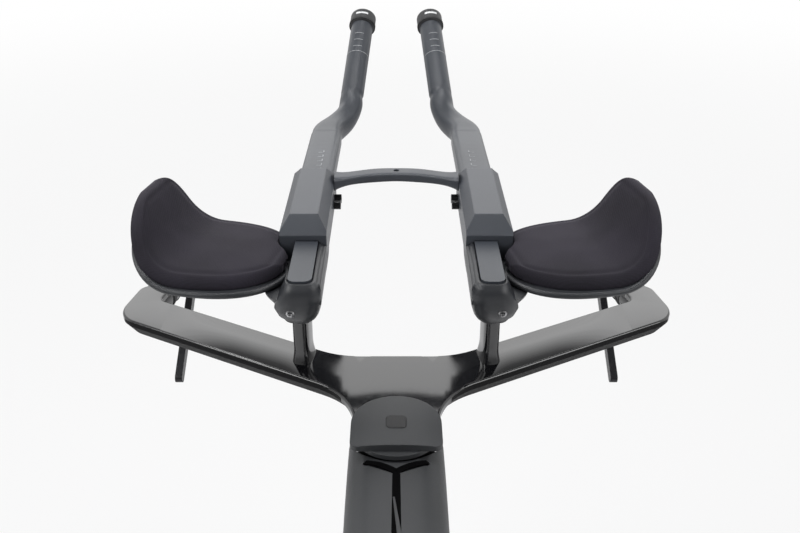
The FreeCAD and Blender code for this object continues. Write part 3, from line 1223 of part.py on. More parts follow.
def make_cranks():
    aim = Vector(1, 0, 0)
    arms = []
    for side, sign in (("right", -1), ("left", 1)):
        reach = BRACKET + aim * (S.crank_length * -sign)
        outer = S.arm_inside + S.arm_thickness
        top = outer if sign > 0 else -S.arm_inside
        arm = link(Vector(BRACKET.x, top, BRACKET.z), 20, Vector(reach.x, top, reach.z), 14, S.arm_thickness)
        arm = arm.makeFillet(3, [edge for edge in arm.Edges if abs(edge.BoundBox.YLength) < 0.01])
        pin_base = Vector(reach.x, sign * (outer - 6), reach.z)
        pin = Part.makeCylinder(S.pedal_axle_radius, S.pedal_length + 4, pin_base, LEFT * sign)
        solid = arm.fuse(pin)
        if side == "right":
            spindle = Part.makeCylinder(S.spindle_radius, 2 * S.arm_inside + S.arm_thickness - 1,
                                        Vector(BRACKET.x, -S.arm_inside - 1, BRACKET.z), LEFT)
            spider = Part.makeCylinder(46, S.arm_inside - S.chain_line - 2.7,
                                       Vector(BRACKET.x, -S.arm_inside, BRACKET.z), LEFT)
            spider_step = Part.makeCylinder(33.9, 3.4, Vector(BRACKET.x, -S.chain_line - 3, BRACKET.z), LEFT)
            solid = solid.fuse([spindle, spider, spider_step])
        else:
            solid = solid.cut(Part.makeCylinder(S.spindle_radius + 0.02, 60, BRACKET + LEFT * 40, LEFT))
        arms.append(solid.removeSplitter())
        inner = outer + 2
        plate = loft([section(Vector(reach.x, sign * (inner + run), reach.z), AHEAD, UP, length, tall, 3)
                      for run, length, tall in ((0, 40, 14), (8, 76, 16), (36, 80, 16),
                                                (S.pedal_length, 46, 14))])
        bore = Part.makeCylinder(S.pedal_axle_radius + S.running_gap, S.pedal_length + 2.5 - 4,
                                 Vector(reach.x, sign * (inner - 2), reach.z), LEFT * sign)
        publish(feature(f"pedal_{side}", plate.cut(bore)))
    publish(feature("crankset", Part.makeCompound(arms)))


def make_derailleur(phases):
    line = S.chain_line
    top = -S.rear_hub_length / 2 - 8.5
    hang = hanger_point(top)
    arm = link(hang, 10, Vector(GUIDE.x, top, GUIDE.z), 13, 13)
    knuckle = Part.makeCylinder(11, -line - 6.4 - 2.6 - (top - 2), Vector(GUIDE.x, top - 2, GUIDE.z), LEFT)
    publish(feature("derailleur_body", arm.fuse(knuckle).removeSplitter()))
    plates = []
    for start in (-line - 6.2, -line + 6.2 + S.plate_thickness):
        first, second = Vector(GUIDE.x, start, GUIDE.z), Vector(TENSION.x, start, TENSION.z)
        plates.append(link(first, 13, second, 10, S.plate_thickness))
    for centre in (GUIDE, TENSION):
        base = Vector(centre.x, -line - 6.2 - S.plate_thickness, centre.z)
        plates.append(Part.makeCylinder(2.5, 12.4 + 2 * S.plate_thickness, base, LEFT))
    publish(feature("derailleur_cage", united(plates)))
    for name, centre, phase in (("upper", GUIDE, phases[2]), ("lower", TENSION, phases[1])):
        place = Vector(centre.x, -line, centre.z)
        disc = toothed_disc(int(S.pulley_teeth), place, S.tooth_thickness, phase)
        boss = Part.makeCylinder(6, 11.6, place - LEFT * 5.8, LEFT)
        bore = Part.makeCylinder(2.5 + S.running_gap, 20, place - LEFT * 10, LEFT)
        publish(feature(f"{name}_pulley", disc.fuse(boss).removeSplitter().cut(bore)))


def check_and_write():
    DOC.recompute()
    for item in DOC.Objects:
        if "Invalid" in item.State or "Error" in item.State:
            raise RuntimeError(f"{item.Label} did not build")
    os.makedirs("parts", exist_ok=True)
    for item in PUBLISHED:
        shape = item.Shape
        if shape.isNull() or not shape.isValid():
            raise RuntimeError(f"{item.Label} has no valid shape")
        shape.exportStep(f"parts/{item.Label}.step")


make_wheels()
make_frame()
make_fork()
make_calipers()
make_saddle()
make_arm_units(make_bar())
make_levers()
make_bridge()
make_drive()
check_and_write()
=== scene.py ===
import json
import math

import bmesh
import bpy
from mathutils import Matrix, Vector
from mathutils.bvhtree import BVHTree


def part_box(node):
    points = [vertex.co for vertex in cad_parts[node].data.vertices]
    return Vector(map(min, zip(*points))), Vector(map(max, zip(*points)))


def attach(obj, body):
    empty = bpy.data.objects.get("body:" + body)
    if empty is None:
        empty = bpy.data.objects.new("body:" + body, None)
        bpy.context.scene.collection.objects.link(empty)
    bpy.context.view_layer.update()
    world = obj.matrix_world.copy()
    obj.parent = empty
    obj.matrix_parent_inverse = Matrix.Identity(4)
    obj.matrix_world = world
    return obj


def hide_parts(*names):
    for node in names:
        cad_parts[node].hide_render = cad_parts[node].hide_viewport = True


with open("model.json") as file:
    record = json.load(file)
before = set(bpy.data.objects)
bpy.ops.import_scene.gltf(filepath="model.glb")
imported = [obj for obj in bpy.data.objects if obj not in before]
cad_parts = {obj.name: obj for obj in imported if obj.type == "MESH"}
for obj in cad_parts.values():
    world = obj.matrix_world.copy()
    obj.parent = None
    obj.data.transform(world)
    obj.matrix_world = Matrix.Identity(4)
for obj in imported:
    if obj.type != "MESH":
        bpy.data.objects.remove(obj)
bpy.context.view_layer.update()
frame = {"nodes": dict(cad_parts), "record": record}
NODES = frame["nodes"]
UP = Vector((0, 0, 1))
LEFT = Vector((0, 1, 0))
AHEAD = Vector((1, 0, 0))
SIDES = (("left", 1), ("right", -1))
# Lengths are in millimetres and multiplied by this where they are used, apart from places and the stage
MM = 0.001

# Places on the bike, in metres: the bar's front edge and top, and the front axle
BAR_FRONT, BAR_TOP = 0.381338, 0.838084
FRONT_AXLE = Vector((0.5, 0, 0.337))


def cockpit(ahead, left, above=0.0):
    """Point in millimetres from the middle of the bar's front edge."""
    return Vector((BAR_FRONT + ahead * MM, left * MM, BAR_TOP + above * MM))


def eased(value, low, high):
    """Smooth step from 0 at the low value to 1 at the high one."""
    share = min(max((value - low) / (high - low), 0), 1)
    return share * share * (3 - 2 * share)


def bulged(value, power):
    """Power of a value, with its sign kept."""
    return math.copysign(abs(value) ** power, value)


def full_turn(count):
    """Angles spread evenly over one turn."""
    return [math.tau * k / count for k in range(count)]


# Materials

def principled(name, colour, roughness, metallic=0.0, **sockets):
    """New material whose shader has these plain values."""
    material = bpy.data.materials.new(name)
    material.use_nodes = True
    tree = material.node_tree
    shader = tree.nodes["Principled BSDF"]
    shader.inputs["Base Color"].default_value = (*colour, 1)
    shader.inputs["Roughness"].default_value = roughness
    shader.inputs["Metallic"].default_value = metallic
    for socket, value in sockets.items():
        shader.inputs[socket.replace("_", " ")].default_value = value
    return material, tree, shader


def add_node(tree, kind, **values):
    """New node whose sockets, or else properties, have these values."""
    node = tree.nodes.new(kind)
    for name, value in values.items():
        socket = name.replace("_", " ")
        if socket in node.inputs:
            node.inputs[socket].default_value = value
        else:
            setattr(node, name, value)
    return node


def place_texture(tree, stretch=(1, 1, 1)):
    """Coordinates fixed to the piece, stretched along its axes."""
    source = add_node(tree, "ShaderNodeTexCoord")
    mapping = add_node(tree, "ShaderNodeMapping", Scale=stretch)
    tree.links.new(source.outputs["Object"], mapping.inputs["Vector"])
    return mapping.outputs["Vector"]


def noise(tree, place, scale, detail=4.0, rough=0.5):
    node = add_node(tree, "ShaderNodeTexNoise", Scale=scale, Detail=detail, Roughness=rough)
    tree.links.new(place, node.inputs["Vector"])
    return node.outputs["Fac"]


def vary_colour(tree, shader, factor, dark, light, low=0.35, high=0.65):
    ramp = add_node(tree, "ShaderNodeValToRGB")
    for element, position, colour in zip(ramp.color_ramp.elements, (low, high), (dark, light)):
        element.position = position
        element.color = (*colour, 1)
    tree.links.new(factor, ramp.inputs["Fac"])
    tree.links.new(ramp.outputs["Color"], shader.inputs["Base Color"])


def vary_roughness(tree, shader, factor, low, high):
    span = add_node(tree, "ShaderNodeMapRange", From_Min=0.3, From_Max=0.7, To_Min=low, To_Max=high)
    tree.links.new(factor, span.inputs["Value"])
    tree.links.new(span.outputs["Result"], shader.inputs["Roughness"])


def roughen(tree, shader, height, strength, depth, round_edges=0.0):
    """Bump from a height, over edges that shade as if rounded."""
    bump = add_node(tree, "ShaderNodeBump", Strength=strength, Distance=depth)
    tree.links.new(height, bump.inputs["Height"])
    if round_edges:
        bevel = add_node(tree, "ShaderNodeBevel", samples=4, Radius=round_edges)
        tree.links.new(bevel.outputs["Normal"], bump.inputs["Normal"])
    tree.links.new(bump.outputs["Normal"], shader.inputs["Normal"])


def scaled(colour, share):
    return tuple(channel * share for channel in colour)


def coated(name, colour, roughness, grain, metallic=0.0, spread=0.12, depth=0.02 * MM, edge=0.5 * MM,
           stretch=(1, 1, 1), contrast=0.2, **sockets):
    """Painted, anodised or moulded surface with a fine grain and a slow change of tone."""
    material, tree, shader = principled(name, colour, roughness, metallic, **sockets)
    slow = noise(tree, place_texture(tree), scale=14, detail=3)
    vary_colour(tree, shader, slow, scaled(colour, 1 - contrast), scaled(colour, 1 + contrast))
    fine = noise(tree, place_texture(tree, stretch), grain, detail=5, rough=0.6)
    vary_roughness(tree, shader, fine, roughness - spread / 2, roughness + spread / 2)
    roughen(tree, shader, fine, strength=0.35, depth=depth, round_edges=edge)
    return material


def woven(name, warm, cool, thread, sheen):
    """Fine knitted cover: two crossed thread waves with soft wear patches."""
    material, tree, shader = principled(name, warm, 0.86, Sheen_Weight=sheen, Sheen_Roughness=0.45,
                                        Sheen_Tint=(0.62, 0.58, 0.68, 1), Specular_IOR_Level=0.25)
    place = place_texture(tree)
    weave = add_node(tree, "ShaderNodeMath", operation="MULTIPLY")
    for direction, factor in zip(("X", "Y"), weave.inputs):
        wave = add_node(tree, "ShaderNodeTexWave", bands_direction=direction, Scale=thread,
                        Distortion=1.5, Detail=1.0, Detail_Scale=3.0)
        tree.links.new(place, wave.inputs["Vector"])
        tree.links.new(wave.outputs["Fac"], factor)
    patches = noise(tree, place, scale=22)
    thread_share = 0.25
    mixed = add_node(tree, "ShaderNodeMath", operation="MULTIPLY_ADD")
    mixed.inputs[1].default_value = thread_share
    tree.links.new(weave.outputs["Value"], mixed.inputs[0])
    tree.links.new(patches, mixed.inputs[2])
    vary_colour(tree, shader, mixed.outputs["Value"], warm, cool, low=0.3, high=0.8)
    roughen(tree, shader, weave.outputs["Value"], strength=0.5, depth=0.12 * MM)
    return material


def grained(name, colour, roughness, cell, depth):
    """Grained cover of small cells."""
    material, tree, shader = principled(name, colour, roughness)
    place = place_texture(tree)
    cells = add_node(tree, "ShaderNodeTexVoronoi", Scale=cell, feature="DISTANCE_TO_EDGE")
    tree.links.new(place, cells.inputs["Vector"])
    slow = noise(tree, place, scale=30)
    vary_colour(tree, shader, slow, scaled(colour, 0.75), scaled(colour, 1.3))
    vary_roughness(tree, shader, slow, roughness - 0.1, roughness + 0.1)
    roughen(tree, shader, cells.outputs["Distance"], strength=0.6, depth=depth)
    return material


MATERIALS = {
    # Lacquer of the bar, polished; a duller, darker copy of it on the faces that look down or back is
    # painted shade
    "gloss_carbon": coated("gloss_carbon", (0.005, 0.005, 0.006), 0.085, 260, spread=0.03,
                           depth=0.004 * MM, edge=0.6 * MM, IOR=1.75),
    "painted_shade_belly": coated("painted_shade_belly", (0.004, 0.004, 0.0045), 0.6, 900, Specular_IOR_Level=0.12),
    "grip_carbon": coated("grip_carbon", (0.04, 0.0445, 0.053), 0.34, 1900, contrast=0.1, spread=0.08,
                          edge=0.0, depth=0.012 * MM, Specular_IOR_Level=0.36),
    "matte_carbon": coated("matte_carbon", (0.024, 0.0255, 0.028), 0.5, 1500, contrast=0.12,
                           edge=0.8 * MM),
    "anthracite": coated("anthracite", (0.043, 0.0475, 0.057), 0.4, 1900, contrast=0.08, metallic=0.1,
                         edge=1.3 * MM),
    "dark_bracket": coated("dark_bracket", (0.02, 0.0215, 0.025), 0.4, 1900, contrast=0.1, edge=1.5 * MM),
    "black_bolt": coated("black_bolt", (0.008, 0.008, 0.009), 0.34, 1200, metallic=0.3, edge=0.3 * MM),
    # Near-black strip over the top tube's slit: painted shade
    "seal_rubber": coated("seal_rubber", (0.0012, 0.0012, 0.0014), 0.85, 900, depth=0.03 * MM, edge=0.0,
                          Specular_IOR_Level=0.04),
    "pad_fabric": woven("pad_fabric", (0.008, 0.007, 0.0105), (0.018, 0.0155, 0.0235), 330, 0.16),
    "saddle_cover": grained("saddle_cover", (0.02, 0.02, 0.021), 0.55, 900, 0.08 * MM),
    "tyre": coated("tyre_rubber", (0.016, 0.016, 0.017), 0.72, 800, depth=0.1 * MM, edge=0.0,
                   contrast=0.3),
    "wheel_carbon": coated("wheel_carbon", (0.014, 0.014, 0.0155), 0.36, 420, stretch=(1, 0.2, 3),
                           spread=0.14, depth=0.01 * MM, contrast=0.45),
    "black_alloy": coated("black_alloy", (0.03, 0.03, 0.033), 0.36, 1400, metallic=0.55),
    "silver_steel": coated("silver_steel", (0.5, 0.5, 0.51), 0.3, 700, metallic=1.0,
                           stretch=(0.3, 1, 4), edge=0.2 * MM),
    "dark_steel": coated("dark_steel", (0.1, 0.1, 0.105), 0.34, 900, metallic=1.0, edge=0.2 * MM),
    "rubber": coated("soft_rubber", (0.02, 0.02, 0.021), 0.68, 1100, depth=0.05 * MM, contrast=0.25),
    "black_plastic": coated("black_plastic", (0.022, 0.022, 0.024), 0.5, 1300, depth=0.04 * MM),
    # Pale strip over the top of each end cap: painted highlight
    "white_print": coated("white_print", (0.62, 0.63, 0.64), 0.55, 900, edge=0.0, contrast=0.08),
    "faint_print": coated("faint_print", (0.3, 0.31, 0.32), 0.6, 900, edge=0.0, contrast=0.15),
}

# Solids whose finish differs from the one of their slot
OWN_FINISH = {
    "cockpit_bolts": "black_bolt",
    "armrest_base_left": "dark_bracket",
    "armrest_base_right": "dark_bracket",
    "arm_cup_left": "dark_bracket",
    "arm_cup_right": "dark_bracket",
    "extension_left": "grip_carbon",
    "extension_right": "grip_carbon",
}


# Finish of the carried-over solids

SHARP_ANGLE, CORNER_GAP = math.radians(28), 0.004 * MM
# Faces that lean this way get painted shade, a duller and darker copy of the bar's lacquer
BELLY_AIM, BELLY_LEAN = (-0.75, 0, -0.66), 0.42


def new_group(name):
    """Geometry node group with its input and output node."""
    group = bpy.data.node_groups.new(name, "GeometryNodeTree")
    for way in ("INPUT", "OUTPUT"):
        group.interface.new_socket("Geometry", in_out=way, socket_type="NodeSocketGeometry")
    return group, group.nodes.new("NodeGroupInput"), group.nodes.new("NodeGroupOutput")


def smooth_group():
    """Node group that joins split corners and keeps only real edges sharp."""
    group, start, end = new_group("smooth_solids")
    merge = add_node(group, "GeometryNodeMergeByDistance", Distance=CORNER_GAP)
    strip = add_node(group, "GeometryNodeRemoveAttribute", Name="custom_normal")
    faces = add_node(group, "GeometryNodeSetShadeSmooth")
    angle = add_node(group, "GeometryNodeInputMeshEdgeAngle")
    sharp = add_node(group, "FunctionNodeCompare", operation="GREATER_THAN", B=SHARP_ANGLE)
    edges = add_node(group, "GeometryNodeSetShadeSmooth", domain="EDGE", Shade_Smooth=False)
    group.links.new(start.outputs[0], merge.inputs["Geometry"])
    group.links.new(merge.outputs["Geometry"], strip.inputs["Geometry"])
    group.links.new(strip.outputs["Geometry"], faces.inputs["Geometry"])
    group.links.new(faces.outputs["Geometry"], edges.inputs["Geometry"])
    group.links.new(angle.outputs["Unsigned Angle"], sharp.inputs["A"])
    group.links.new(sharp.outputs["Result"], edges.inputs["Selection"])
    group.links.new(edges.outputs["Geometry"], end.inputs[0])
    return group


def belly_group():
    """Node group that gives the faces that look down or back a duller, darker copy of the lacquer: painted
    shade.
    """
    group, start, end = new_group("belly_painted_shade")
    normal = add_node(group, "GeometryNodeInputNormal")
    lean = add_node(group, "ShaderNodeVectorMath", operation="DOT_PRODUCT")
    lean.inputs[1].default_value = BELLY_AIM
    down = add_node(group, "FunctionNodeCompare", operation="GREATER_THAN", B=BELLY_LEAN)
    finish = add_node(group, "GeometryNodeSetMaterial", Material=MATERIALS["painted_shade_belly"])
    group.links.new(normal.outputs["Normal"], lean.inputs[0])
    group.links.new(lean.outputs["Value"], down.inputs["A"])
    group.links.new(down.outputs["Result"], finish.inputs["Selection"])
    group.links.new(start.outputs[0], finish.inputs["Geometry"])
    group.links.new(finish.outputs["Geometry"], end.inputs[0])
    return group


SMOOTH = smooth_group()


def dress_solids():
    for row in frame["record"]["subparts"]:
        node = NODES[row["node"]]
        node.data.materials.clear()
        node.data.materials.append(MATERIALS[OWN_FINISH.get(row["node"], row["material_slot"])])
        node.modifiers.new("smooth", "NODES").node_group = SMOOTH
    # The base bar's faces that look down or back get painted shade
    NODES["base_bar"].modifiers.new("belly", "NODES").node_group = belly_group()


# Pieces

def new_piece(name, points, faces, material, body, slot=None, levels=0, smooth=True):
    """Mesh piece that rides on a body."""
    mesh = bpy.data.meshes.new(name)
    mesh.from_pydata([tuple(point) for point in points], [], faces)
    mesh.update()
    mesh.materials.append(MATERIALS[material])
    work = bmesh.new()
    work.from_mesh(mesh)
    bmesh.ops.recalc_face_normals(work, faces=work.faces)
    work.to_mesh(mesh)
    work.free()
    for polygon in mesh.polygons:
        polygon.use_smooth = smooth
    piece = bpy.data.objects.new(name, mesh)
    bpy.context.scene.collection.objects.link(piece)
    if levels:
        modifier = piece.modifiers.new("subdivision", "SUBSURF")
        modifier.levels = modifier.render_levels = levels
    elif smooth:
        piece.modifiers.new("smooth", "NODES").node_group = SMOOTH
    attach(piece, body)
    return piece


def grid_faces(rows, columns, closed):
    """Faces of a grid of points, with its columns joined into rings where closed."""
    faces = []
    for row in range(rows - 1):
        for column in range(columns if closed else columns - 1):
            onward = (column + 1) % columns
            a, b = row * columns + column, row * columns + onward
            faces.append((a, b, b + columns, a + columns))
    return faces


def capped_rings(rings):
    """Points and faces of a closed skin through rings of equal count."""
    count = len(rings[0])
    points = [point for ring in rings for point in ring]
    faces = grid_faces(len(rings), count, True)
    faces.append(tuple(range(count - 1, -1, -1)))
    faces.append(tuple(range((len(rings) - 1) * count, len(rings) * count)))
    return points, faces


def hoop_mesh(path, radius, sides):
    """Points and faces of a round tube along a closed path."""
    count = len(path)
    points = []
    for k, point in enumerate(path):
        aim = (path[(k + 1) % count] - path[k - 1]).normalized()
        across = aim.cross(UP if abs(aim.z) < 0.9 else AHEAD).normalized()
        other = aim.cross(across)
        points += [point + (across * math.cos(turn) + other * math.sin(turn)) * radius
                   for turn in full_turn(sides)]
    faces = grid_faces(count, sides, True)
    last = (count - 1) * sides
    faces += [(last + n, last + (n + 1) % sides, (n + 1) % sides, n) for n in range(sides)]
    return points, faces


def band_mesh(centre, aim, radius, start, end, spread, thickness=0.12 * MM, steps=16):
    """Points and faces of a thin band over the top of an axis, from one place along it to another."""
    side = aim.cross(UP).normalized()
    up = side.cross(aim).normalized()
    points = []
    for k in range(steps + 1):
        turn = -spread + 2 * spread * k / steps
        out = up * math.cos(turn) + side * math.sin(turn)
        for along, lift in ((start, 0), (end, 0), (end, thickness), (start, thickness)):
            points.append(centre + aim * along + out * (radius + lift))
    faces = grid_faces(steps + 1, 4, True)
    faces += [(3, 2, 1, 0), tuple(steps * 4 + corner for corner in range(4))]
    return points, faces


def prism_mesh(outline, height):
    """Points and faces of a thin upright prism under an outline."""
    count = len(outline)
    points = list(outline) + [point - UP * height for point in outline]
    faces = [tuple(range(count)), tuple(range(2 * count - 1, count - 1, -1))]
    faces += [(k, count + k, count + (k + 1) % count, (k + 1) % count) for k in range(count)]
    return points, faces


def surface_of(node):
    """Search tree of a carried-over solid."""
    mesh = NODES[node].data
    return BVHTree.FromPolygons([vertex.co for vertex in mesh.vertices],
                                [polygon.vertices for polygon in mesh.polygons])


def point_below(surface, spot):
    """Point of a surface straight below a spot, or None."""
    return surface.ray_cast(spot, -UP)[0]


# Extensions

GRIP_RADIUS, CAP_RADIUS = 10.5, 12.3
# Direction and front end of the left grip
GRIP_AIM, GRIP_END = (0.85404, -0.0854, 0.51316), (345.15, 33.53, 153.32)
ABOVE_EXTENSION, PRINT_LIFT, PRINT_DEPTH = 140, 0.08, 0.1
FLAT_TICKS, FLAT_TICK_START, FLAT_TICK_PITCH, FLAT_TICK_LEFT = 5, 106, 9.5, 58.5
# Name, length across and width along of the two strokes of a tick
FLAT_STROKES = (("bar", 4.4, 0.6), ("foot", 0.6, 4.6))
GRIP_TICKS, GRIP_TICK_START, GRIP_TICK_PITCH, GRIP_TICK_WIDTH, GRIP_TICK_SPREAD = 3, 17, 8.4, 0.5, 0.42
# The pale strip over the top of each end cap is a painted highlight
# Name, radius, start, end, half angle, thickness, steps and finish of the bands
GRIP_BANDS = (("grip_ring", GRIP_RADIUS, -40.5, -40, 1.5, 0.12, 40, "faint_print"),
              ("cap_highlight_strip", CAP_RADIUS, 7.6, 9.8, 0.5, 0.12, 16, "white_print"),
              ("cap_ring", CAP_RADIUS, 1.2, 3.6, math.pi - 0.001, 0.5, 48, "rubber"))


def make_flat_ticks(side, sign):
    """Printed scale on the flat of an extension."""
    body = f"extension_{side}"
    surface = surface_of(body)
    for k in range(FLAT_TICKS):
        ahead = FLAT_TICK_START + FLAT_TICK_PITCH * k
        hit = point_below(surface, cockpit(ahead, sign * FLAT_TICK_LEFT, ABOVE_EXTENSION))
        corner = hit + UP * PRINT_LIFT * MM
        for name, length, width in FLAT_STROKES:
            outline = [corner + Vector((x * MM, sign * y * MM, 0))
                       for x, y in ((0, 0), (width, 0), (width, length), (0, length))]
            new_piece(f"flat_tick_{name}_{side}_{k}", *prism_mesh(outline, PRINT_DEPTH * MM),
                      "faint_print", body, smooth=False)


def make_grip_bands(side, sign):
    """Printed scale on a grip, a pale strip painted as a highlight over the top of its end cap, and the
    cap's ring.
    """
    body = f"extension_{side}"
    end = cockpit(GRIP_END[0], sign * GRIP_END[1], GRIP_END[2])
    aim = Vector((GRIP_AIM[0], sign * GRIP_AIM[1], GRIP_AIM[2])).normalized()
    for k in range(GRIP_TICKS):
        back = -(GRIP_TICK_START + GRIP_TICK_PITCH * k) * MM
        tick = band_mesh(end, aim, GRIP_RADIUS * MM, back, back + GRIP_TICK_WIDTH * MM, GRIP_TICK_SPREAD)
        new_piece(f"grip_tick_{side}_{k}", *tick, "faint_print", body)
    for name, radius, start, stop, spread, thickness, steps, finish in GRIP_BANDS:
        band = band_mesh(end, aim, radius * MM, start * MM, stop * MM, spread, thickness * MM, steps)
        new_piece(f"{name}_{side}", *band, finish, body)


def make_extension_marks():
    for side, sign in SIDES:
        make_flat_ticks(side, sign)
        make_grip_bands(side, sign)


# Base bar

BAR_CROWN, CROWN_START, CROWN_FULL = 2.3, 38, 84
SKIN_LIFT, SKIN_DEPTH, SKIN_COLUMNS = 0.05, 0.3, 16
SKIN_REACH, SKIN_FADE, SKIN_STEP, SKIN_CHORD = 178, 62, 4, 60
ABOVE_BAR, FLAT_DEPTH, EDGE_HALVINGS = 40, 0.15, 12
# Places ahead between which the flat top starts and ends
FLAT_REAR, FLAT_LATEST, FLAT_FRONT = -90, 130, 190


def on_flat(surface, ahead, left):
    """Whether the bar's flat top lies at a place ahead and left."""
    hit = point_below(surface, cockpit(ahead, left, ABOVE_BAR))
    return hit is not None and hit.z > BAR_TOP - FLAT_DEPTH * MM


def flat_edge(surface, inside, outside, left):
    """Place ahead where the flat top ends between a place on it and one off it."""
    for _ in range(EDGE_HALVINGS):
        middle = (inside + outside) / 2
        if on_flat(surface, middle, left):
            inside = middle
        else:
            outside = middle
    return inside


def bar_top_ends(surface, left):
    """Rear and front end of the bar's flat top at a place to the left, in millimetres ahead."""
    rear = next(ahead for ahead in range(FLAT_REAR, FLAT_LATEST) if on_flat(surface, ahead, left))
    front = next(ahead for ahead in range(rear, FLAT_FRONT) if not on_flat(surface, ahead, left))
    rear, front = flat_edge(surface, rear, rear - 1, left), flat_edge(surface, front - 1, front, left)
    return rear, min(front, rear + SKIN_CHORD)


def make_bar_skin():
    """Crowned top of the bar, which turns its flat blade into a wing section."""
    surface = surface_of("base_bar")
    rings = []
    for left in range(-SKIN_REACH, SKIN_REACH + 1, SKIN_STEP):
        rear, front = bar_top_ends(surface, left)
        crown = BAR_CROWN * eased(abs(left), CROWN_START, CROWN_FULL)
        crown *= eased(SKIN_REACH - abs(left), 0, SKIN_FADE)
        top, under = [], []
        for column in range(SKIN_COLUMNS + 1):
            share = 0.5 - 0.5 * math.cos(math.pi * column / SKIN_COLUMNS)
            ahead = rear + (front - rear) * share
            top.append(cockpit(ahead, left, SKIN_LIFT + 4 * crown * share * (1 - share)))
            under.append(cockpit(ahead, left, -SKIN_DEPTH))
        rings.append(top + under[::-1])
    new_piece("bar_skin", *capped_rings(rings), "gloss_carbon", "steering", "gloss_carbon")


# Front end, direction, size and corner power of the left horn
HORN_END, HORN_AIM = (160.84, 185.66, -11.5), (0.983255, -0.182236)
HORN_SIZE, HORN_POWER = (24, 22), 2.3
TAPE_START, TAPE_RUN, TAPE_TURNS, TAPE_LIFT, TAPE_LAP = -58, 50, 5, 0.4, 0.9
LAP_EDGE, TAPE_ENDS, TAPE_ROWS, TAPE_COLUMNS = 0.1, (-0.001, 0.03), 96, 36


def make_horn_tape():
    """Wound tape on each horn, lapped at every turn."""
    for side, sign in SIDES:
        aim = Vector((HORN_AIM[0], sign * HORN_AIM[1], 0))
        across = aim.cross(UP)
        end = cockpit(HORN_END[0], sign * HORN_END[1], HORN_END[2])
        rings = []
        for row in range(TAPE_ROWS + 1):
            share = row / TAPE_ROWS
            centre = end + aim * (TAPE_START + TAPE_RUN * share) * MM
            ring = []
            for column, turn in enumerate(full_turn(TAPE_COLUMNS)):
                lap = (share * TAPE_TURNS + column / TAPE_COLUMNS) % 1
                lift = TAPE_LIFT + TAPE_LAP * (1 - lap) * eased(lap, 0, LAP_EDGE)
                lift *= eased(min(share, 1 - share), *TAPE_ENDS)
                wide = bulged(math.cos(turn), 2 / HORN_POWER) * (HORN_SIZE[0] / 2 + lift)
                high = bulged(math.sin(turn), 2 / HORN_POWER) * (HORN_SIZE[1] / 2 + lift)
                ring.append(centre + (across * wide + UP * high) * MM)
            rings.append(ring)
        new_piece(f"horn_tape_{side}", *capped_rings(rings), "rubber", "steering", "rubber")


# Wheels

VALVE_ANGLE, VALVE_SIDES = math.radians(208), 20
# Radius and distance beyond the rim's inner edge of each ring of the valve
VALVE_ROWS = ((3.6, 4), (3.6, -1), (2.6, -2), (2.6, -14), (1.5, -15), (1.5, -23), (2.4, -24),
              (2.4, -29), (1.2, -31))


def make_valve():
    """Valve of the front wheel, where its stem comes out of the rim."""
    aim = Vector((math.cos(VALVE_ANGLE), 0, math.sin(VALVE_ANGLE)))
    hit = surface_of("front_rim").ray_cast(FRONT_AXLE, aim)[0]
    side = aim.cross(LEFT)
    rings = []
    for radius, reach in VALVE_ROWS:
        centre = hit + aim * reach * MM
        rings.append([centre + (LEFT * math.cos(turn) + side * math.sin(turn)) * radius * MM
                      for turn in full_turn(VALVE_SIDES)])
    new_piece("front_valve", *capped_rings(rings), "dark_steel", "front_wheel", "dark_steel")


# Top tube slit and stem cap

ABOVE_TUBE, BESIDE_SLIT, BEHIND_FORK, STRIP_DEPTH = 30, 5, 30, 0.5
# The slit's fork, and from there the arms' ends and bends ahead and left, and the stem's length
SLIT_FORK, SLIT_ARM, SLIT_BEND, SLIT_STEM = -119, (10.2, 19.2), (7.4, 8.2), -70
SLIT_ARM_WIDTHS, SLIT_STEM_WIDTHS = (4.6, 4.6 * 0.8), (4.8, 6.0)
ARM_LIFT, STEM_LIFT, ARM_STEPS, STEM_STEPS = 0.1, 0.06, 14, 10
FLAP_START, FLAP_LENGTH, FLAP_LEFT, FLAP_SLANT = -22, 30, 1.5, 3.2
FLAP_WIDTHS, FLAP_LIFT, FLAP_STEPS = (1.2, 2.6), 0.25, 6
SKIRT_CENTRE, SKIRT_RADII, SKIRT_TOP, SKIRT_FRONT = -79.2, (31.0, 29.7), -0.6, -99
SKIRT_START, SKIRT_SPAN, SKIRT_STEPS = 0.62, 0.76, 32
SKIRT_HALF, SKIRT_DEPTH = 20, 3.2


def tube_top(surface, left):
    """Height of the top tube beside its slit."""
    beside = math.copysign(max(abs(left), BESIDE_SLIT), left)
    return point_below(surface, cockpit(SLIT_FORK - BEHIND_FORK, beside, ABOVE_TUBE)).z


def strip_on_tube(name, line, widths, material, lift):
    """Thin strip along a line on the top tube, given as places ahead and left."""
    surface = surface_of("top_tube")
    rings = []
    count = len(line)
    for k, (ahead, left) in enumerate(line):
        before, after = line[max(k - 1, 0)], line[min(k + 1, count - 1)]
        aim = Vector((after[0] - before[0], after[1] - before[1], 0)).normalized()
        half = (widths[0] + (widths[1] - widths[0]) * k / (count - 1)) / 2
        ring = []
        for share in (-1, -0.5, 0, 0.5, 1):
            spot = cockpit(ahead - aim.y * half * share, left + aim.x * half * share, ABOVE_TUBE)
            hit = point_below(surface, spot)
            level = max(hit.z if hit else 0, tube_top(surface, left))
            ring.append(Vector((spot.x, spot.y, level + lift * MM)))
        rings.append(ring + [point - UP * STRIP_DEPTH * MM for point in reversed(ring)])
    new_piece(name, *capped_rings(rings), material, "frame", "rubber")


def curve_between(start, bend, end, steps):
    """Points of a quadratic curve."""
    line = []
    for k in range(steps + 1):
        t = k / steps
        line.append(tuple(a * (1 - t) ** 2 + 2 * b * t * (1 - t) + c * t * t
                          for a, b, c in zip(start, bend, end)))
    return line


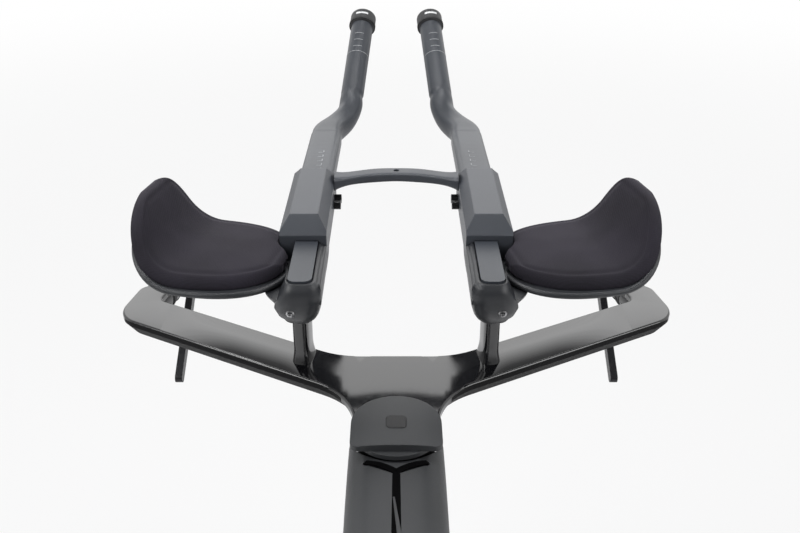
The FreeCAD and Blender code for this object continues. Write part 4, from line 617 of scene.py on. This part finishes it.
def make_slit():
    """Near-black strips over the slit of the top tube, painted shade where the slit lies in shadow, and the
    folded flap in its stem.
    """
    fork = (SLIT_FORK, 0)
    stem = [(SLIT_FORK + SLIT_STEM * k / STEM_STEPS, 0) for k in range(STEM_STEPS + 1)]
    # Strips of painted shade over the slit's stem and arms
    strip_on_tube("slit_shade_strip_stem", stem, SLIT_STEM_WIDTHS, "seal_rubber", STEM_LIFT)
    for side, sign in SIDES:
        bend = (SLIT_FORK + SLIT_BEND[0], sign * SLIT_BEND[1])
        end = (SLIT_FORK + SLIT_ARM[0], sign * SLIT_ARM[1])
        arm = curve_between(fork, bend, end, ARM_STEPS)
        strip_on_tube(f"slit_shade_strip_{side}", arm, SLIT_ARM_WIDTHS, "seal_rubber", ARM_LIFT)
    flap = [(SLIT_FORK + FLAP_START - FLAP_LENGTH * k / FLAP_STEPS, FLAP_LEFT - FLAP_SLANT * k / FLAP_STEPS)
            for k in range(FLAP_STEPS + 1)]
    strip_on_tube("slit_flap", flap, FLAP_WIDTHS, "matte_carbon", FLAP_LIFT)


def make_cap_skirt():
    """Cover between the stem cap and the round mouth of the top tube."""
    outline = []
    for k in range(SKIRT_STEPS + 1):
        turn = math.pi * (SKIRT_START + SKIRT_SPAN * k / SKIRT_STEPS)
        ahead = SKIRT_CENTRE + SKIRT_RADII[0] * math.cos(turn)
        outline.append(cockpit(ahead, SKIRT_RADII[1] * math.sin(turn), SKIRT_TOP))
    outline += [cockpit(SKIRT_FRONT, left, SKIRT_TOP) for left in (-SKIRT_HALF, SKIRT_HALF)]
    new_piece("stem_cap_skirt", *prism_mesh(outline, SKIRT_DEPTH * MM), "matte_carbon", "steering",
              "matte_carbon", smooth=False)


# Arm rest brackets

TAIL_REAR, TAIL_SIDES, TAIL_CORNER, TAIL_GAP = -66, (51.5, 66.5), 5, 0.5
# Top of the collar, the front ends of its near and far side, and of both sides below the arm
COLLAR_TOP, COLLAR_ARM, COLLAR_FAR, COLLAR_ROOT, ARM_DEPTH = 96.4, -11.8, -53, -40, 12
NOTCH_DEPTHS = (16, 0.4)
NEAR_STEPS, FAR_STEPS, CORNER_STEPS = 12, 6, 6
# Depth, rear end, near and far side and corner radius of each row
COLLAR_ROWS = ((0.2, -68.0, 49.4, 67.6, 5), (2.2, -70.4, 47.2, 68.6, 6), (6, -72.0, 45.8, 70.0, 7),
               (11.5, -72.0, 45.7, 72.6, 8), (13.5, -71.6, 45.9, 74.0, 9), (20, -69.5, 46.8, 76.0, 10),
               (27, -65.0, 48.6, 74.5, 10), (33, -59.0, 51.0, 71.0, 9), (37, -53.5, 53.5, 68.0, 7),
               (39, -46.0, 56.0, 66.0, 5))
SCREW_PLACE, SCREW_SIDES = (-68.2, 65.0, 77.0), 24
# Radius and rise of each ring of the screw's head, down into its socket
SCREW_ROWS = ((2.9, 0), (2.9, 1.2), (2.5, 2.0), (1.6, 2.4), (1.4, 1.2), (0.01, 1.2))


def corner_arc(centre, radius, start, steps):
    """Quarter arc in the plan, turned backwards from a start."""
    turns = [start - math.pi / 2 * k / steps for k in range(steps + 1)]
    return [(centre[0] + radius * math.cos(turn), centre[1] + radius * math.sin(turn)) for turn in turns]


def straight(start, end, steps):
    """Points of a straight run, without its last."""
    return [tuple(a + (b - a) * k / steps for a, b in zip(start, end)) for k in range(steps)]


def hook_outline(starts, rear, near, far, radius):
    """Plan of a hook: along its near side, round the rear and back along its far side."""
    first = corner_arc((rear + radius, near + radius), radius, math.pi * 1.5, CORNER_STEPS)
    second = corner_arc((rear + radius, far - radius), radius, math.pi, CORNER_STEPS)
    line = straight((starts[0], near), first[0], NEAR_STEPS) + first[:-1]
    line += straight(first[-1], second[0], FAR_STEPS) + second
    return line + straight((starts[1], far), second[-1], FAR_STEPS)[::-1]


def collar_rows():
    """Rows of the left collar: up the notch for the extension's tail and down the outside."""
    notch = hook_outline((COLLAR_ARM, COLLAR_FAR), TAIL_REAR - TAIL_GAP, TAIL_SIDES[0] - TAIL_GAP,
                         TAIL_SIDES[1] + TAIL_GAP, TAIL_CORNER + TAIL_GAP)
    rows = [[(x, y, COLLAR_TOP - depth) for x, y in notch] for depth in NOTCH_DEPTHS]
    for depth, rear, near, far, radius in COLLAR_ROWS:
        starts = (COLLAR_ARM, COLLAR_FAR) if depth < ARM_DEPTH else (COLLAR_ROOT, COLLAR_ROOT)
        rows.append([(x, y, COLLAR_TOP - depth) for x, y in hook_outline(starts, rear, near, far, radius)])
    return rows


def make_collars():
    """Collar of each bracket, with the extension's tail let into it, and its tilt screw."""
    rows = collar_rows()
    count = len(rows[0])
    faces = grid_faces(len(rows), count, False)
    last = (len(rows) - 1) * count
    faces += [(last + k, last + k + 1, k + 1, k) for k in range(count - 1)]
    faces += [tuple(row * count + edge for row in range(len(rows))) for edge in (0, count - 1)]
    for side, sign in SIDES:
        points = [cockpit(x, sign * y, z) for row in rows for x, y, z in row]
        new_piece(f"bracket_collar_{side}", points, faces, "dark_bracket", "steering", "anthracite")
        spot = cockpit(SCREW_PLACE[0], sign * SCREW_PLACE[1], SCREW_PLACE[2])
        screw = [[spot + Vector((-rise, radius * math.cos(turn), radius * math.sin(turn))) * MM
                  for turn in full_turn(SCREW_SIDES)] for radius, rise in SCREW_ROWS]
        new_piece(f"tilt_screw_{side}", *capped_rings(screw), "silver_steel", "steering", "silver_steel")


# Arm rests

# Flat run, radius and angle of the bend, and whole run of the cup from its inner end outwards
REST_FLAT, REST_BEND, REST_LEAN, REST_RUN = 62.0, 38.0, math.radians(62), 117.0
REST_PLACE, REST_INNER, REST_TOE = (-17, 110, 84.3), -44, math.radians(12)
REST_HALF, REST_POWER, REST_SHIFT, SHIFT_POWER, REST_BACK = 47, 2.6, 17, 6, 1
# Least place to the left beside the extension and beside the clamp, and where one turns into the other
EXTENSION_SIDE, CLAMP_SIDE, CLAMP_START, CLAMP_BLEND = 67.6, 78.2, -28, 16
CUP_THICKNESS, RIM_RADIUS, RIM_HEIGHT, RIM_STEPS, RIM_SIDES = 3.5, 2.1, 0.55, 48, 10
PAD_THICKNESS, PAD_INSET, PAD_ROUND, PAD_RISE, PAD_GAP = 10.0, 2.6, 6.5, 11.0, 0.3
PAD_EDGE, PAD_CROWN, CROWN_RUN, SEAM_DEPTH, SEAM_WIDTH = 0.82, 0.2, 34, 1.1, 1.4
PAD_ROWS, PAD_COLUMNS = 44, 34
# Half the spread of the rows over the run, short of a half so that the end rows keep a width
PAD_SPREAD, RIM_SPREAD = 0.494, 0.497


def rest_point(run, ahead, lift):
    """Point of the left arm rest at a run outwards, a place ahead and a lift off its underside."""
    forward = Vector((math.cos(REST_TOE), -math.sin(REST_TOE), 0))
    outward = Vector((math.sin(REST_TOE), math.cos(REST_TOE), 0))
    bend = min(max(run - REST_FLAT, 0) / REST_BEND, REST_LEAN)
    beyond = max(0.0, run - REST_FLAT - REST_BEND * REST_LEAN)
    side = REST_INNER + min(run, REST_FLAT) + REST_BEND * math.sin(bend) + beyond * math.cos(REST_LEAN)
    height = REST_BEND * (1 - math.cos(bend)) + beyond * math.sin(REST_LEAN)
    normal = outward * -math.sin(bend) + UP * math.cos(bend)
    place = outward * side + UP * height + normal * lift + forward * ahead
    return cockpit(*REST_PLACE) + place * MM


def rest_ends(share):
    """Rear and front end of the arm rest at a share of its run."""
    half = REST_HALF * (1 - abs(2 * share - 1) ** REST_POWER) ** (1 / REST_POWER)
    middle = REST_SHIFT * share ** SHIFT_POWER - REST_BACK
    return middle - half, middle + half


def clear_clamp(point, sign):
    """Point of the left rest pushed out of the room of the clamp and extension, or its mirror image."""
    ahead = (point.x - BAR_FRONT) / MM
    blend = min(max((ahead - CLAMP_START) / CLAMP_BLEND, 0), 1)
    least = (EXTENSION_SIDE + (CLAMP_SIDE - EXTENSION_SIDE) * blend) * MM
    return Vector((point.x, sign * max(point.y, least), point.z))


def pad_lift(inside):
    """Height of the pad's top over the cup, at a distance inside its outline."""
    edge = 1 - min(inside / PAD_ROUND, 1)
    seam = SEAM_DEPTH * math.exp(-((inside - PAD_ROUND) / SEAM_WIDTH) ** 2)
    crown = PAD_THICKNESS * PAD_CROWN * min(inside / CROWN_RUN, 1)
    return PAD_THICKNESS * PAD_EDGE * math.sqrt(1 - edge * edge) - seam + crown


def make_arm_pads():
    """Soft cover of each pad, with a seam inside its rounded edge."""
    reach = REST_RUN + PAD_RISE
    for side, sign in SIDES:
        rings = []
        for row in range(PAD_ROWS + 1):
            share = 0.5 - PAD_SPREAD * math.cos(math.pi * row / PAD_ROWS)
            rear, front = rest_ends(share)
            middle, half = (rear + front) / 2, (front - rear) / 2 - PAD_INSET
            run = PAD_INSET + (reach - PAD_INSET) * share
            top, under = [], []
            for column in range(PAD_COLUMNS + 1):
                across = -math.cos(math.pi * column / PAD_COLUMNS)
                inside = min(half * (1 - abs(across)), reach * min(share, 1 - share))
                for line, lift in ((top, pad_lift(inside)), (under, 0.0)):
                    point = rest_point(run, middle + half * across, CUP_THICKNESS + PAD_GAP + lift)
                    line.append(clear_clamp(point, sign))
            rings.append(top + under[-2:0:-1])
        pad = new_piece(f"arm_pad_cover_{side}", *capped_rings(rings), "pad_fabric", "steering",
                        "pad_fabric", levels=1)
        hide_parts(f"arm_pad_{side}")


def make_cup_rims():
    """Rounded lip along the edge of each cup."""
    shares = [0.5 - RIM_SPREAD * math.cos(math.pi * k / RIM_STEPS) for k in range(RIM_STEPS + 1)]
    loop = [(share, 0) for share in shares] + [(share, 1) for share in reversed(shares)]
    for side, sign in SIDES:
        path = []
        for share, end in loop:
            point = rest_point(REST_RUN * share, rest_ends(share)[end], CUP_THICKNESS * RIM_HEIGHT)
            path.append(clear_clamp(point, sign))
        new_piece(f"cup_rim_{side}", *hoop_mesh(path, RIM_RADIUS * MM, RIM_SIDES), "dark_bracket",
                  "steering", "anthracite")


# Saddle

# Place ahead of the saddle's middle, and share of its width there
SADDLE_ROWS = ((-122, 0.5), (-112, 0.82), (-92, 1.0), (-50, 0.86), (0, 0.56), (55, 0.4), (105, 0.36),
               (122, 0.3), (130, 0.2))
SADDLE_BACK, SADDLE_HALF, SADDLE_RISE, SADDLE_DROP, SADDLE_POWER = 4, 68, 8.6, 9.4, 0.72
SADDLE_CROWN, SADDLE_SINK = 1.5, 1.6
GROOVE_DEPTH, GROOVE_WIDTH, GROOVE_REACH, GROOVE_FADE = 4.5, 7, 100, 30
TIP_LEAST, TIP_GROWTH = 0.05, 9
SADDLE_RINGS, SADDLE_COLUMNS, SADDLE_TRIM = 40, 40, 0.02


def saddle_width(ahead):
    """Share of the saddle's width at a place ahead of its middle."""
    for (start, low), (end, high) in zip(SADDLE_ROWS, SADDLE_ROWS[1:]):
        if ahead <= end:
            return low + (high - low) * eased(ahead, start, end)
    return SADDLE_ROWS[-1][1]


def make_saddle():
    """Soft cover of the saddle, with a groove along its middle."""
    low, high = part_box("saddle_pad")
    seat = Vector(((low.x + high.x) / 2 - SADDLE_BACK * MM, 0, high.z))
    rear, front = SADDLE_ROWS[0][0], SADDLE_ROWS[-1][0]
    rings = []
    for row in range(SADDLE_RINGS + 1):
        along = SADDLE_TRIM + (1 - 2 * SADDLE_TRIM) * row / SADDLE_RINGS
        share = 0.5 - 0.5 * math.cos(math.pi * along)
        ahead = rear + (front - rear) * share
        half = SADDLE_HALF * saddle_width(ahead)
        tip = min(1.0, (TIP_LEAST + TIP_GROWTH * min(share, 1 - share)) ** 0.5)
        fade = min(1, max(0, (GROOVE_REACH - abs(ahead)) / GROOVE_FADE))
        ring = []
        for angle in full_turn(SADDLE_COLUMNS):
            across = bulged(math.cos(angle), SADDLE_POWER)
            rise = bulged(math.sin(angle), SADDLE_POWER)
            lift = rise * SADDLE_RISE * tip
            if rise > 0:
                groove = GROOVE_DEPTH * math.exp(-(across * half / GROOVE_WIDTH) ** 2) * fade
                lift += SADDLE_CROWN * (1 - across * across) - groove - SADDLE_SINK
            ring.append(seat + Vector((ahead, across * half * tip, lift - SADDLE_DROP)) * MM)
        rings.append(ring)
    cover = new_piece("saddle_cover", *capped_rings(rings), "saddle_cover", "seat", "saddle_cover", levels=1)
    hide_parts("saddle_pad")


# Stage, light and camera, in metres and watts

WHITE = (1, 1, 1, 1)
FLOOR_REACH, PAPER, PAPER_GLOW = 9.0, (0.86, 0.86, 0.87, 1), 0.94
# Share of the floor's glow in what the camera and what reflections see
GLOW_SEEN, GLOW_MIRRORED = 0.84, 0.1
# Distance from the bike over which the paper runs out into white
PAPER_FADE = (1.6, 6.0)
ROOM_LIGHT = 0.42
# Directions over which the mirrored room darkens, and its strength there
CEILING_FADE, CEILING_STRENGTHS = (0.58, 0.9), (1.0, 0.15)
REAR_FADE, REAR_STRENGTHS = (-0.6, 0.25), (0.12, 1.0)
# Name, place, target, width, height and power of the lamps beside the stepped backdrop
LAMPS = (("key", (-1.2, 2.4, 3.0), (0, 0, 0.7), 2.4, 2.0, 70),
         ("fill", (-1.2, -2.6, 2.6), (0, 0, 0.7), 2.4, 2.0, 50),
         ("strip", (0.75, 0.14, 2.6), (0.75, 0, 0.9), 0.25, 2.4, 22))
BACKDROP_STEPS, BACKDROP_AHEAD, BACKDROP_FOOT, BACKDROP_PITCH = 6, 3.4, 1.8, 0.3
BACKDROP_TARGET, BACKDROP_SIZE, BACKDROP_POWER = (0, 0, 0.8), (4.4, 1.8), 5.5
CAMERA_PLACE, CAMERA_TURN = (-0.161, 0, 1.199), (math.radians(62), 0, math.radians(-90))
SENSOR_WIDTH, FOCAL_LENGTH, LENS_SHIFT, NEAREST = 36.0, 40.5, 0.0046, 0.02


def clear_rays(tree, path):
    """1 for rays from the camera or through glass, 0 for others."""
    clear = add_node(tree, "ShaderNodeMath", operation="MAXIMUM")
    tree.links.new(path.outputs["Is Camera Ray"], clear.inputs[0])
    tree.links.new(path.outputs["Is Transmission Ray"], clear.inputs[1])
    return clear.outputs["Value"]


def multiplied(tree, one, other):
    product = add_node(tree, "ShaderNodeMath", operation="MULTIPLY")
    tree.links.new(one, product.inputs[0])
    tree.links.new(other, product.inputs[1])
    return product.outputs["Value"]


def smooth_ramp(tree, value, span, ends):
    """Smooth step of a value over a span, from one end value to the other."""
    ramp = add_node(tree, "ShaderNodeMapRange", interpolation_type="SMOOTHSTEP", From_Min=span[0],
                    From_Max=span[1], To_Min=ends[0], To_Max=ends[1])
    tree.links.new(value, ramp.inputs["Value"])
    return ramp.outputs["Result"]


def glow_share(tree, path):
    """Share of the floor's glow: most for clear rays, little for reflections, none for others."""
    reflected = add_node(tree, "ShaderNodeMath", operation="MULTIPLY")
    reflected.inputs[1].default_value = GLOW_MIRRORED
    tree.links.new(path.outputs["Is Glossy Ray"], reflected.inputs[0])
    total = add_node(tree, "ShaderNodeMath", operation="MULTIPLY_ADD")
    total.inputs[1].default_value = GLOW_SEEN
    tree.links.new(clear_rays(tree, path), total.inputs[0])
    tree.links.new(reflected.outputs["Value"], total.inputs[2])
    return total.outputs["Value"]


def mixed_shader(tree, share, base, over):
    mix = add_node(tree, "ShaderNodeMixShader")
    tree.links.new(share, mix.inputs["Fac"])
    tree.links.new(base, mix.inputs[1])
    tree.links.new(over, mix.inputs[2])
    return mix.outputs["Shader"]


def floor_paper():
    """Pale paper that keeps shadows and runs out into white far from the bike."""
    material = bpy.data.materials.new("floor")
    material.use_nodes = True
    tree = material.node_tree
    tree.nodes.clear()
    output = add_node(tree, "ShaderNodeOutputMaterial")
    path = add_node(tree, "ShaderNodeLightPath")
    paper = add_node(tree, "ShaderNodeBsdfDiffuse", Color=PAPER)
    glow = add_node(tree, "ShaderNodeEmission", Color=WHITE, Strength=PAPER_GLOW)
    near = mixed_shader(tree, glow_share(tree, path), paper.outputs["BSDF"], glow.outputs["Emission"])
    place = add_node(tree, "ShaderNodeNewGeometry")
    away = add_node(tree, "ShaderNodeVectorMath", operation="LENGTH")
    tree.links.new(place.outputs["Position"], away.inputs[0])
    fade = smooth_ramp(tree, away.outputs["Value"], PAPER_FADE, (0.0, 1.0))
    white = add_node(tree, "ShaderNodeEmission", Color=WHITE, Strength=1.0)
    share = multiplied(tree, clear_rays(tree, path), fade)
    far = mixed_shader(tree, share, near, white.outputs["Emission"])
    tree.links.new(far, output.inputs["Surface"])
    return material


def make_stage():
    mesh = bpy.data.meshes.new("floor")
    corners = [(x * FLOOR_REACH, y * FLOOR_REACH, 0) for x, y in ((-1, -1), (1, -1), (1, 1), (-1, 1))]
    mesh.from_pydata(corners, [], [(0, 1, 2, 3)])
    mesh.materials.append(floor_paper())
    floor = bpy.data.objects.new("floor", mesh)
    bpy.context.scene.collection.objects.link(floor)


def make_world():
    """White background with an even light, whose reflection darkens towards the ceiling and the rear."""
    world = bpy.data.worlds.new("studio")
    bpy.context.scene.world = world
    world.use_nodes = True
    tree = world.node_tree
    background = tree.nodes["Background"]
    background.inputs["Color"].default_value = WHITE
    direction = add_node(tree, "ShaderNodeTexCoord")
    parts = add_node(tree, "ShaderNodeSeparateXYZ")
    tree.links.new(direction.outputs["Generated"], parts.inputs["Vector"])
    ceiling = smooth_ramp(tree, parts.outputs["Z"], CEILING_FADE, CEILING_STRENGTHS)
    behind = smooth_ramp(tree, parts.outputs["X"], REAR_FADE, REAR_STRENGTHS)
    path = add_node(tree, "ShaderNodeLightPath")
    mirrored = add_node(tree, "ShaderNodeMix", data_type="FLOAT")
    mirrored.inputs["A"].default_value = ROOM_LIGHT
    tree.links.new(path.outputs["Is Glossy Ray"], mirrored.inputs["Factor"])
    tree.links.new(multiplied(tree, ceiling, behind), mirrored.inputs["B"])
    seen = add_node(tree, "ShaderNodeMix", data_type="FLOAT")
    seen.inputs["B"].default_value = 1.0
    tree.links.new(clear_rays(tree, path), seen.inputs["Factor"])
    tree.links.new(mirrored.outputs["Result"], seen.inputs["A"])
    tree.links.new(seen.outputs["Result"], background.inputs["Strength"])


def softbox(name, place, target, width, height, power):
    light = bpy.data.lights.new(name, "AREA")
    light.shape = "RECTANGLE"
    light.size, light.size_y, light.energy = width, height, power
    lamp = bpy.data.objects.new(name, light)
    lamp.location = place
    lamp.rotation_euler = (Vector(target) - Vector(place)).to_track_quat("-Z", "Y").to_euler()
    bpy.context.scene.collection.objects.link(lamp)


def make_lamps():
    for lamp in LAMPS:
        softbox(*lamp)
    for step in range(BACKDROP_STEPS):
        place = (BACKDROP_AHEAD, 0, BACKDROP_FOOT + BACKDROP_PITCH * step)
        softbox(f"backdrop_{step}", place, BACKDROP_TARGET, *BACKDROP_SIZE, BACKDROP_POWER)


def make_camera():
    lens = bpy.data.cameras.new("camera")
    lens.sensor_width, lens.lens = SENSOR_WIDTH, FOCAL_LENGTH
    lens.shift_x = LENS_SHIFT
    lens.clip_start = NEAREST
    camera = bpy.data.objects.new("camera", lens)
    camera.location = CAMERA_PLACE
    camera.rotation_euler = CAMERA_TURN
    bpy.context.scene.collection.objects.link(camera)
    bpy.context.scene.camera = camera


bpy.context.scene.view_settings.view_transform = "Standard"
dress_solids()
make_arm_pads()
make_cup_rims()
make_extension_marks()
make_bar_skin()
make_horn_tape()
make_valve()
make_slit()
make_cap_skirt()
make_collars()
make_saddle()
make_stage()
make_world()
make_lamps()
make_camera()
